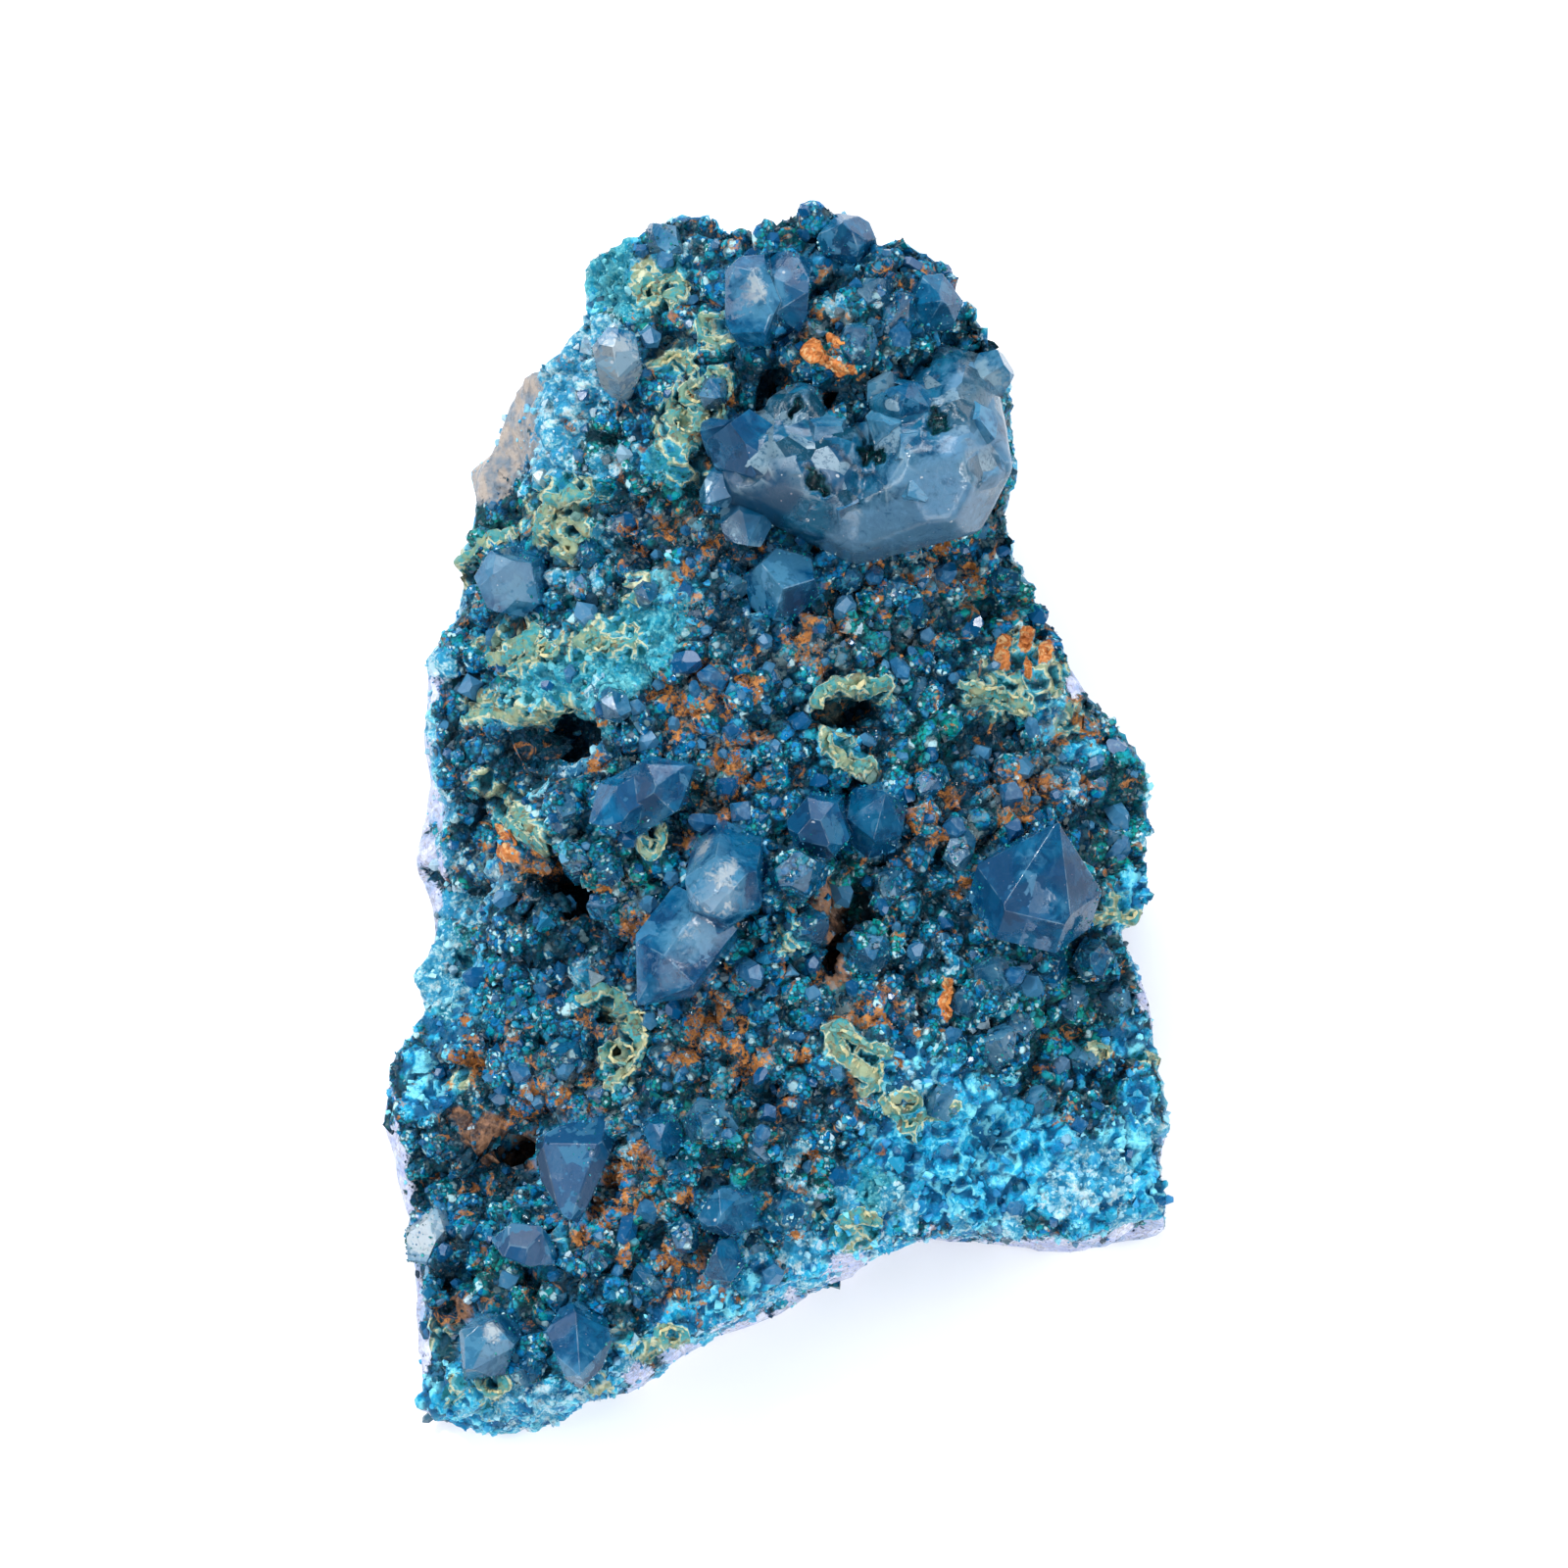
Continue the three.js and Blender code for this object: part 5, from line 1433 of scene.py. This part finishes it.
# Small crystals fused to the rock, given as those of the crown are.
SMALL_CRYSTALS = [
    (7.4, 32.4, 2.6, 0.2, 0.2, 15), (5.8, 33.4, 2.0, -0.2, 0.1, 40),
    (8.6, 31.8, 1.8, 0.4, -0.2, 22), (15.0, -12.6, 2.2, 0.1, -0.2, 33),
    (12.4, -12.0, 2.0, -0.3, 0.1, 8), (-11.2, 18.6, 2.0, 0.2, 0.1, 12),
    (-12.6, 17.4, 1.6, -0.2, 0.2, 44), (-1.8, -27.4, 2.0, 0.1, -0.1, 30),
    (-7.2, 37.0, 2.2, -0.2, 0.3, 10), (-4.6, 28.0, 1.7, 0.2, 0.1, 30), (6.2, 31.4, 1.6, 0.3, 0, 0),
    (9.4, 30.3, 1.8, -0.2, 0.2, 50), (2.0, 29.6, 2.0, 0, -0.3, 15), (4.6, 30.4, 2.4, 0.1, -0.2, 40),
    (-8.9, 15.3, 1.5, 0.2, -0.2, 20), (-12.4, 14.6, 1.6, 0, 0.3, 5), (-3.6, 15.0, 1.7, 0.2, 0, 25),
    (6.9, 14.9, 2.0, 0.3, -0.2, 10), (8.6, 13.5, 1.5, 0, 0, 45), (5.0, 16.2, 1.5, -0.3, 0, 35),
    (14.2, 15.8, 1.9, 0.3, 0.1, 20), (-11.1, 8.2, 1.9, -0.2, 0.1, 10),
    (-8.9, 6.8, 1.5, 0, -0.3, 50), (-5.7, 3.7, 1.7, 0.3, 0, 5), (9.0, 8.2, 1.7, 0.1, -0.2, 33),
    (9.7, 2.7, 1.6, 0.2, 0.2, 12), (18.4, 2.4, 1.9, 0.1, 0.1, 28), (-13.9, 1.2, 1.8, -0.4, 0.1, 8),
    (-12.9, -2.6, 2.0, -0.3, 0, 40), (-11.4, -3.1, 1.7, 0.1, 0.2, 15),
    (-10.6, -5.6, 1.7, -0.3, -0.3, 22), (-13.4, 0, 1.5, -0.5, 0, 5), (0.3, -4.0, 2.8, 0.2, 0, 12),
    (5.6, -7.9, 2.4, -0.2, -0.3, 26), (-3.9, -10.6, 1.6, 0.2, -0.3, 9),
    (-11.4, -9.6, 1.9, -0.2, -0.2, 48), (0.9, -6.9, 2.0, 0.3, 0.2, 18),
    (10.2, -8.6, 2.3, -0.2, 0.2, 36), (13.8, -10.6, 2.7, 0.2, -0.1, 7),
    (14.2, -14.7, 2.2, 0.1, 0.2, 52), (16.9, -8.4, 2.3, 0, -0.4, 20),
    (17.4, -9.8, 1.7, -0.2, 0, 44), (18.7, -11.0, 1.9, 0.3, -0.2, 14),
    (20.2, -9.0, 2.1, 0.2, 0.2, 31), (21.3, -10.9, 2.0, 0.4, 0, 3), (8.7, -13.9, 1.5, 0, 0, 27),
    (-13.3, -15.1, 1.9, -0.3, 0.1, 11), (-4.1, -19.6, 2.8, 0.2, 0.2, 24),
    (-5.9, -21.9, 1.8, -0.3, 0, 49), (-0.8, -20.8, 2.2, 0.2, -0.1, 6),
    (-6.5, -26.2, 1.7, -0.1, -0.2, 17), (0.4, -25.3, 2.2, 0.3, 0, 38),
    (-8.6, -29.6, 1.5, 0.1, 0.1, 29), (-12.4, -28.8, 1.6, -0.2, 0.2, 41),
    (-6.1, -29.4, 1.9, 0, -0.3, 13), (-14.9, -24.2, 1.5, 0, 0.2, 34),
    (-17.1, -35.0, 1.5, 0.2, -0.2, 2), (-15.9, -34.2, 1.4, 0, 0, 21), (7.4, -16.9, 1.7, 0.2, 0, 46),
    (18.9, -14.9, 1.6, 0.3, 0.2, 19), (16.4, -18.2, 1.8, 0.1, -0.2, 37),
    (11.0, -17.4, 1.9, -0.2, 0.1, 16), (2.4, -12.0, 1.8, 0.1, 0.1, 51),
    (-0.6, -12.6, 1.5, -0.2, 0.2, 4), (11.6, -1.6, 1.8, 0.2, 0.1, 39),
    (7.0, -4.4, 1.9, 0.1, -0.1, 23), (20.9, -0.9, 1.8, 0.4, 0.1, 1),
    (-17.0, -11.8, 1.8, -0.4, 0, 47),
]
TIP_SLOPE = math.radians(38.2)  # a tip face against the long axis
POINT_ROOT = 0.9 * MM  # how much of a small crystal is below its foot


def slice_off(shell, outward, distance):
    """Cuts a convex shell by a plane and closes it again."""
    whole = shell.verts[:] + shell.edges[:] + shell.faces[:]
    cut = bmesh.ops.bisect_plane(
        shell, geom=whole, plane_co=outward * distance, plane_no=outward, clear_outer=True
    )
    rim = [g for g in cut["geom_cut"] if isinstance(g, bmesh.types.BMEdge)]
    if rim:
        bmesh.ops.contextual_create(shell, geom=rim)


def quartz_point(width, length, root, chance, sides=6):
    """A quartz crystal: its corners and faces, long axis along +Z, root below the origin."""
    shell = bmesh.new()
    bmesh.ops.create_cube(shell, size=2.0)
    bmesh.ops.scale(shell, verts=shell.verts, vec=(width, width, (length + root) / 2))
    bmesh.ops.translate(shell, verts=shell.verts, vec=(0, 0, (length - root) / 2))
    start = chance.randrange(2)
    for side in range(sides):
        turn = 2 * math.pi * side / sides
        around = Vector((math.cos(turn), math.sin(turn), 0))
        slice_off(shell, around, chance.uniform(0.36, 0.56) * width)
        lag = chance.uniform(0.0, 0.08) if side % 2 == start else chance.uniform(0.06, 0.3)
        tip = (around * math.cos(TIP_SLOPE) + Vector((0, 0, math.sin(TIP_SLOPE)))).normalized()
        slice_off(shell, tip, (length * (0.9 + lag)) * math.sin(TIP_SLOPE))
    bmesh.ops.remove_doubles(shell, verts=shell.verts, dist=0.01 * width)
    return taken_apart(shell)


def stood(corners, place, axis, twist):
    """The corners moved so that +Z points along the axis from the place."""
    turn = Vector((0, 0, 1)).rotation_difference(axis).to_matrix().to_4x4()
    whole = Matrix.Translation(place) @ turn @ Matrix.Rotation(twist, 4, "Z")
    return [whole @ Vector(c) for c in corners]


def small_crystals(ground, crystals, sunk, paints, seed):
    """Crystals fused to a ground, shared out among pieces of different clearness."""
    chance = random.Random(seed)
    groups = [([], []) for _ in paints]
    for across, up, width, lean_across, lean_up, twist in crystals:
        place = ground.ray_cast(EYE, sight_line(*face_pixel(across, up)))[0]
        if place is None:
            continue
        width = (width * 1.12 + 0.15) * MM  # a little wider than it is listed
        corners, faces = quartz_point(width, chance.uniform(0.9, 1.5) * width, POINT_ROOT, chance)
        right, up = (1.5 * lean + chance.uniform(-0.8, 0.8) for lean in (lean_across, lean_up))
        axis = (SIGHT_RIGHT * right + SIGHT_UP * up + SIGHT_OUT).normalized()
        corners = stood(corners, place - SIGHT_OUT * sunk * width, axis, math.radians(twist))
        add_part(chance.choice(groups), corners, faces)
    for group, (name, paint) in zip(groups, paints):
        piece = new_piece(name, mesh_of(name, *group), paint)
        tone_facets(piece.data, chance, 0.3)
        piece.data = edged(piece, 0.05, 1)
        finished_crystal(piece)


# ---- druse


class Growth(Tree):
    """A Geometry Nodes tree with named sizes."""

    def __init__(self, name, sizes):
        super().__init__(bpy.data.node_groups.new(name, "GeometryNodeTree"))
        panel = self.group.interface
        panel.new_socket("Geometry", in_out="OUTPUT", socket_type="NodeSocketGeometry")
        panel.new_socket("Geometry", in_out="INPUT", socket_type="NodeSocketGeometry")
        self.sizes = sizes
        for size in sizes:
            panel.new_socket(size, in_out="INPUT", socket_type="NodeSocketFloat")
        inlet = self.group.nodes.new("NodeGroupInput")
        self.base = Term(self, inlet.outputs["Geometry"])
        self.size = {size: Term(self, inlet.outputs[size]) for size in sizes}

    def field(self, name):
        return self.node(
            "GeometryNodeInputNamedAttribute", {"data_type": "FLOAT"}, {"Name": name}, "Attribute"
        )

    def chance(self, low, high, seed, kind="FLOAT"):
        place = {"FLOAT_VECTOR": (0, 1, 0), "FLOAT": (2, 3, 1), "INT": (4, 5, 2)}[kind]
        return self.node(
            "FunctionNodeRandomValue",
            {"data_type": kind},
            {place[0]: low, place[1]: high, "Seed": seed},
            place[2],
        )

    def close(self, geometry, paint):
        whole = self.node("GeometryNodeRealizeInstances", values=[geometry])
        values = {"Geometry": whole, "Material": paint}
        painted = self.node("GeometryNodeSetMaterial", values=values)
        made = self.group.nodes.new("NodeGroupOutput")
        self.group.links.new(painted.socket, made.inputs["Geometry"])

    def grow(self, name, carrier):
        """The piece that grows on a carrier object."""
        modifier = carrier.modifiers.new(name, "NODES")
        modifier.node_group = self.group
        for item in self.group.interface.items_tree:
            if item.name in self.sizes:
                modifier[item.identifier] = self.sizes[item.name]
        return new_piece(name, with_modifiers(carrier))


def shape_pool(name, shapes):
    """A collection of small closed shapes to be scattered."""
    pool = bpy.data.collections.new(name)
    scene.collection.children.link(pool)
    for number, shape in enumerate(shapes):
        label = f"{name}_{number}"
        pool.objects.link(bpy.data.objects.new(label, mesh_of(label, *shape)))
    return pool


def drop_pool(pool):
    for item in list(pool.objects):
        bpy.data.objects.remove(item)
    bpy.data.collections.remove(pool)


def crumb(chance, points):
    """The hull of a few points scattered about a ball."""
    shell = bmesh.new()
    for _ in range(points):
        direction = Vector([chance.gauss(0, 1) for _ in range(3)]).normalized()
        shell.verts.new(direction * 0.5 * chance.uniform(0.7, 1.1))
    hull_over(shell, shell.verts)
    return taken_apart(shell)


def crumbs(chance, counts):
    return [crumb(chance, points) for points in counts]


def shard_shapes(chance, counts):
    return [quartz_point(0.8, chance.uniform(0.6, 1.1), 0.5, chance, sides) for sides in counts]


def scatter_growth(name, pool, paint, where, sizes, tilt, seed):
    """A growth of a pool's shapes where the carrier's field of a name is high.

    The sizes are the spacing, the number on a square metre, the smallest and the largest."""
    spacing, density, smallest, largest = sizes
    growth = Growth(
        name,
        {
            "spacing": spacing * MM,
            "density": density,
            "smallest": smallest * MM,
            "largest": largest * MM,
        },
    )
    points = growth.node(
        "GeometryNodeDistributePointsOnFaces",
        {"distribute_method": "POISSON"},
        {
            "Mesh": growth.base,
            "Distance Min": growth.size["spacing"],
            "Density Max": growth.size["density"],
            "Density Factor": growth.field(where),
            "Seed": seed,
        },
    )
    outward = Term(growth, points.socket.node.outputs["Normal"])
    upright = growth.node("FunctionNodeAlignRotationToVector", {"axis": "Z"}, {"Vector": outward})
    lean = growth.chance((-tilt, -tilt, -math.pi), (tilt, tilt, math.pi), seed + 1, "FLOAT_VECTOR")
    luck = growth.chance(0.0, 1.0, seed + 2)
    least, most = growth.size["smallest"], growth.size["largest"]
    grains = growth.node(
        "GeometryNodeInstanceOnPoints",
        values={
            "Points": points,
            "Instance": growth.node(
                "GeometryNodeCollectionInfo",
                values={"Collection": pool, "Separate Children": True, "Reset Children": True},
            ),
            "Pick Instance": True,
            "Instance Index": growth.chance(0, 50, seed + 3, "INT"),
            "Rotation": growth.node(
                "FunctionNodeRotateRotation",
                {"rotation_space": "LOCAL"},
                {"Rotation": upright, "Rotate By": lean},
            ),
            "Scale": least + (most - least) * luck**2.5,
        },
    )
    tinted = growth.node(
        "GeometryNodeStoreNamedAttribute",
        {"data_type": "FLOAT", "domain": "INSTANCE"},
        {"Geometry": grains, "Name": "tint", "Value": growth.chance(0.0, 1.0, seed + 4)},
    )
    growth.close(tinted, paint)
    return growth


def druse_paint(name, clear, tone_share):
    paint = Paint(name)
    step, over, field = paint.step, paint.over, paint.field
    tint = field("tint")
    second = tint.join("FRACT", tint * 17.3, 0)
    coat, cell, lots = micro_crystals(paint, tint)
    lone = step(tint + (lots[0] - 0.5) * 0.3, 1 - tone_share, 1.05 - tone_share)
    single = over(
        tone(4, 84, 130),
        (step(second, 0.45, 0.5), tone(30, 122, 166)),
        (step(second, 0.85, 0.87), tone(0, 60, 92)),
        (step(second, 0.95, 0.96), FROST),
    )
    dusty = step(field("dust") + (lots[2] - 0.5) * 0.9, 0.45, 0.8)
    film = step(paint.noise(0.35, 3, 0.7) + (field("rust") - 0.5) * 0.22, 0.575, 0.635)
    colour = over(
        coat,
        (lone, single),
        (step(field("turquoise") + (tint - 0.5) * 0.5, 0.35, 0.6) * 0.8, TURQUOISE),
        (step(field("pale") + (tint - 0.5) * 0.8, 0.3, 0.6) * 0.8, FROST),
        (step(field("olive") + (tint - 0.5) * 0.8, 0.45, 0.7) * 0.8, OLIVE),
        # painted shade in creases, pits and shaded recesses
        (step(field("hollow"), 0.3, 0.9) * 0.75, ABYSS),
        (dusty * 0.45, over(DUST, (lots[0], tone(140, 146, 142)))),
        (film * step(field("rust"), 0.1, 0.4) * 0.85, RUST),
    )
    return paint.finish(
        {
            "Base Color": colour,
            "Roughness": paint.span(lots[1], 0.08, 0.4),
            "Specular IOR Level": 0.24,
            "Transmission Weight": clear,
            "Normal": paint.slanted(paint.bump(paint.noise(0.2, 2), 0.04, 0.5), cell, 0.5),
        }
    )


def shard_paint():
    paint = Paint("quartz_shards")
    wisps = paint.noise(0.4, 3)
    colour = paint.over(
        tone(4, 98, 156),
        (paint.step(paint.field("tint") + (wisps - 0.5), 0.3, 0.9), tone(76, 148, 194)),
        (paint.step(wisps, 0.55, 0.75) * 0.4, tone(160, 190, 208)),
    )
    return paint.finish(
        {
            "Base Color": colour,
            "Roughness": paint.span(wisps, 0.12, 0.3),
            "IOR": QUARTZ_IOR,
            "Specular IOR Level": 0.3,
            "Transmission Weight": 0.5,
            "Normal": paint.bump(wisps, 0.03, 0.5),
        }
    )


def rust_paint():
    paint = Paint("iron_rust")
    tint, grit = paint.field("tint"), paint.noise(0.25, 3)
    colour = paint.over(
        UMBER,
        (paint.step(tint, 0.2, 0.7), RUST),
        (paint.step(tint + (grit - 0.5), 0.75, 1.1), LIGHT_RUST),
    )
    return paint.rough(colour, grit, 0.6, 0.95, 0.12, 0.8)


def bud_paint():
    paint = Paint("turquoise_buds")
    step, field = paint.step, paint.field
    tint, grit = field("tint"), paint.noise(0.3, 3)
    swirl = paint.noise(2.0, 4, 0.6, 1.2) + (tint - 0.5) * 0.12
    colour = paint.over(
        TURQUOISE,
        (step(tint, 0.2, 0.8), SKY_BLUE),
        (step(swirl + (grit - 0.5) * 0.2, 0.5, 0.6) * 0.85, AQUA),
        (step(swirl, 0.47, 0.39) * 0.85, tone(4, 106, 162)),
        (step(field("green") + (tint - 0.5) * 0.5, 0.4, 0.7) * 0.75, tone(96, 176, 182)),
        (step(field("pale") + (tint - 0.5) * 0.6, 0.3, 0.7) * 0.7, tone(160, 206, 220)),
    )
    return paint.rough(colour, grit, 0.4, 0.7, 0.1, 0.7)


def wall_paint(name, light, dark):
    paint = Paint(name)
    grit = paint.noise(0.2, 3)
    # Painted shade: each wall darkens towards its foot, where it meets the rock.
    foot = paint.step(paint.field("rise") + (grit - 0.5) * 0.8, 0.55, 0.1) * 0.75
    colour = paint.over(dark, (paint.step(paint.noise(0.9, 3), 0.44, 0.56), light), (foot, ABYSS))
    return paint.rough(colour, grit, 0.6, 0.95, 0.08, 0.8)


WALL_STEP = 3.5  # pixels between the sections of a thin wall
WALL_FOOT = 1.0 * MM  # how deep it goes into the rock
WALL_DROP = 1.2 * MM  # a step in the rock that it doesn't follow
WALL_FOLLOW = 0.35  # how much of the rest it follows from section to section
WALL_STRAY = 0.7  # pixels by which a section strays from its line
RING_CORNERS = 12


def wall_sections(ground, line, radius, closed, chance):
    """The four corners of each section of a ragged wall along a line of pixels."""
    line = np.array(line, float)
    if closed:
        line = np.vstack([line, line[:1]])
    lengths = np.hypot(*np.diff(line, axis=0).T)
    along = np.arange(0, lengths.sum() - WALL_STEP / 2, WALL_STEP)
    ends = np.concatenate([[0], np.cumsum(lengths)])
    spots = np.stack([np.interp(along, ends, line[:, i]) for i in (0, 1)], axis=1)
    spots += np.array([[chance.gauss(0, WALL_STRAY) for _ in range(2)] for _ in spots])
    heading = np.gradient(spots, axis=0)
    sections, height, tall = [], None, 0.3
    for spot, (across, down) in zip(spots, heading / np.linalg.norm(heading, axis=1)[:, None]):
        foot = ground.ray_cast(EYE, sight_line(*spot))[0]
        if foot is None:
            continue
        level = foot.dot(SIGHT_OUT)
        if height is not None and abs(level - height) > WALL_DROP:
            continue
        height = level if height is None else height + WALL_FOLLOW * (level - height)
        foot += SIGHT_OUT * (height - level)
        side = (SIGHT_RIGHT * down + SIGHT_UP * across) * radius * PIXEL * chance.uniform(0.25, 0.6)
        tall = 0.6 * tall + 0.4 * chance.uniform(-1.1, 1.3)
        top = SIGHT_OUT * tall * MM + side * chance.uniform(-0.8, 0.8)
        root = foot - SIGHT_OUT * WALL_FOOT
        sections.append(
            [root + side, root - side, foot + top - side * 0.8, foot + top + side * 0.8]
        )
    return sections


def thin_walls(name, ground, lines, paint, seed):
    """Ragged walls of old crust: each is (radius in pixels, line of pixels, whether a ring)."""
    chance = random.Random(seed)
    group, rise = ([], []), []
    for radius, line, closed in lines:
        sections = wall_sections(ground, line, radius, closed, chance)
        count = len(sections)
        if count < 3:
            continue
        faces = []
        for number in range(count if closed else count - 1):
            here, there = 4 * number, 4 * ((number + 1) % count)
            for i, k in ((0, 1), (1, 2), (2, 3), (3, 0)):
                faces.append((here + i, here + k, there + k, there + i))
        if not closed:
            last = 4 * (count - 1)
            faces += [(0, 3, 2, 1), (last, last + 1, last + 2, last + 3)]
        add_part(group, sum(sections, []), faces)
        rise += [0, 0, 1, 1] * count
    mesh = mesh_of(name, *group)
    with shell_of(mesh) as shell:
        bmesh.ops.recalc_face_normals(shell, faces=shell.faces)
    store(mesh, "rise", rise)
    dress(new_piece(name, mesh, paint))


def ring(across, down, wide, high):
    turns = np.linspace(0, 2 * math.pi, RING_CORNERS, endpoint=False)
    return [(across + wide * math.cos(turn), down + high * math.sin(turn)) for turn in turns]


FOOT_REACH = 2.3  # millimetres up a crystal that the micro crystals climb at most
LOW_FEET = ("quartz_crown_glass", "quartz_centre_twins_glass", "blue_points", "pale_points")


def foot_druse(rock_tree, paint):
    """Micro crystals that climb the feet of the crystals."""
    shell = bmesh.new()
    limits = []
    for piece in list(bpy.data.objects):
        if piece.name.endswith("_glass") or piece.name in LOW_FEET:
            shell.from_mesh(piece.data)
            limits += [0.4 if piece.name in LOW_FEET else 1] * len(piece.data.vertices)
    bmesh.ops.triangulate(shell, faces=shell.faces)
    mesh = bpy.data.meshes.new("feet")
    shell.to_mesh(mesh)
    shell.free()
    drop_fields(mesh)
    grid, limits = places(mesh) / MM, np.array(limits)
    gaps = np.array([(rock_tree.find_nearest(v.co)[3] or 0) for v in mesh.vertices]) / MM
    reach = FOOT_REACH * limits * (0.5 + 0.9 * cloud(grid, 2.0, 91, 2)).clip(0.12, 1)
    flank = smooth((0.5 - to_eye(mesh)) / 0.3) * smooth(4.5 - gaps)
    flank *= smooth(3 * cloud(grid, 2.6, 93, 2) + 0.4) * (limits > 0.5)
    store(mesh, "foot", np.maximum(smooth(1.3 - gaps / reach), 0.85 * flank))
    store(mesh, "green", smooth(0.5 + cloud(grid, 3, 92)))
    carrier = new_piece("feet", mesh)
    sizes = (0.26, 14.0e6, 0.14, 0.4)
    growth = scatter_growth("foot_druse", micro_pool, paint, "foot", sizes, 1.5, 700)
    dress(growth.grow("foot_druse", carrier))
    bpy.data.objects.remove(carrier)


# ---- the specimen

shaped = shaped_crystals()
rock_mesh = make_rock(crystals_tree())
rock = new_piece("rock", rock_mesh, crust_paint())
rock_tree = tree_of(rock_mesh)

grain_chance, crumb_chance = random.Random(77), random.Random(9)
grains = [quartz_point(0.9, 0.8, 0.4, grain_chance, sides) for sides in (4, 3, 6)]
grain_pool = shape_pool("grain_shape", grains + crumbs(grain_chance, (6, 7, 7, 8, 6)))
shards = shard_shapes(random.Random(78), (6, 4, 6, 5))
shard_pool = shape_pool("shard_shape", shards)
micro_pool = shape_pool("micro_shape", crumbs(random.Random(79), (5, 6, 5, 6)))
crumb_pool = shape_pool("crumb_shape", crumbs(crumb_chance, [7] * 5))
bud_pool = shape_pool("bud_shape", crumbs(crumb_chance, [16] * 5))

blue_paint = druse_paint("blue_druse", 0.2, 0.5)
micro_paint = druse_paint("micro_druse", 0.0, 0.2)
# What grows on the rock: name, shapes, paint, field, sizes, tilt and seed.
GROWTHS = [
    ("blue_druse", grain_pool, blue_paint, "druse", (0.62, 4.0e6, 0.28, 0.85), 0.8, 100),
    ("micro_druse", micro_pool, micro_paint, "micro", (0.257, 20.0e6, 0.14, 0.36), 1.5, 500),
    ("quartz_shards", shard_pool, shard_paint(), "shards", (1.7, 0.5e6, 0.7, 1.8), 0.5, 400),
    ("rust_crumbs", crumb_pool, rust_paint(), "rusty", (0.36, 3.0e6, 0.16, 0.5), 1.5, 200),
    ("turquoise_buds", bud_pool, bud_paint(), "buds", (0.55, 3.0e6, 0.2, 0.85), 1.2, 300),
]
for name, *plan in GROWTHS:
    dress(scatter_growth(name, *plan).grow(name, rock))
dress(rock)
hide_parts("matrix")
cream_lines = [(radius, line, False) for radius, line in CREAM_WALLS]
cream_lines += [(CUP_WALL, ring(*cup), True) for cup in CREAM_CUPS]
orange_lines = [(radius, line, False) for radius, line in ORANGE_WALLS]
cream_paint = wall_paint("crust_walls", tone(190, 184, 142), tone(92, 146, 140))
orange_paint = wall_paint("rust_walls", tone(200, 128, 60), tone(160, 92, 44))
thin_walls("crust_walls", rock_tree, cream_lines, cream_paint, 10)
thin_walls("rust_walls", rock_tree, orange_lines, orange_paint, 11)

# Each quartz: its shallow, deep and milky tones, how clear it is, what passes it and its density.
glass_blue = quartz_paint(
    "blue_quartz", (tone(14, 122, 174), tone(0, 78, 128), tone(94, 166, 206)),
    0.5, (0.03, 0.74, 0.95), 170.0, gloss=0.12,
)
glass_pale = quartz_paint(
    "pale_quartz", (tone(88, 164, 204), tone(12, 108, 158), tone(166, 206, 226)),
    0.5, (0.2, 0.8, 0.95), 110.0,
)
crown_glass = quartz_paint(
    "crown_quartz", (tone(32, 128, 170), tone(0, 82, 126), tone(118, 172, 212)),
    0.45, (0.06, 0.74, 0.95), 140.0, gloss=0.3, crown=True,
)
coated_blue = quartz_paint(
    "coated_blue_quartz", (tone(24, 114, 162), tone(0, 72, 114), tone(110, 166, 200)),
    0.4, (0.05, 0.7, 0.94), 160.0, gloss=0.14, coat=0.5,
)
coated_pale = quartz_paint(
    "coated_pale_quartz", (tone(84, 150, 188), tone(10, 96, 142), tone(156, 194, 216)),
    0.45, (0.2, 0.75, 0.94), 120.0, coat=0.3,
)
facet_chance = random.Random(3)
for crystal in SEATED:
    if crystal == "quartz_crown":
        crown = dress_crown(crystal, crown_glass)
    elif crystal in ("quartz_pale_spray", "quartz_west_edge"):
        dress_crystal(crystal, glass_pale, facet_chance)
    else:
        dress_crystal(crystal, glass_blue, facet_chance)
rock_paints = [("blue_points", coated_blue), ("pale_points", coated_pale)]
small_crystals(rock_tree, SMALL_CRYSTALS, 0.62, rock_paints, 5)
crown_paints = [("crown_points", glass_blue), ("crown_pale_points", glass_pale)]
small_crystals(tree_of(crown.data), CROWN_POINTS, 1.0, crown_paints, 6)
foot_druse(rock_tree, micro_paint)
for pool in (grain_pool, micro_pool, shard_pool, crumb_pool, bud_pool):
    drop_pool(pool)

FLOOR_HALF = 3.0
FLOOR_LEVEL = -0.02 * MM
floor_corners = [
    (x * FLOOR_HALF, y * FLOOR_HALF, FLOOR_LEVEL) for x, y in ((-1, -1), (1, -1), (1, 1), (-1, 1))
]
floor_paint = Paint("floor_paint").finish({"Base Color": (0.93, 0.94, 0.96, 1), "Roughness": 0.8})
floor = new_piece("floor", mesh_of("floor", floor_corners, [(0, 1, 2, 3)]), floor_paint)
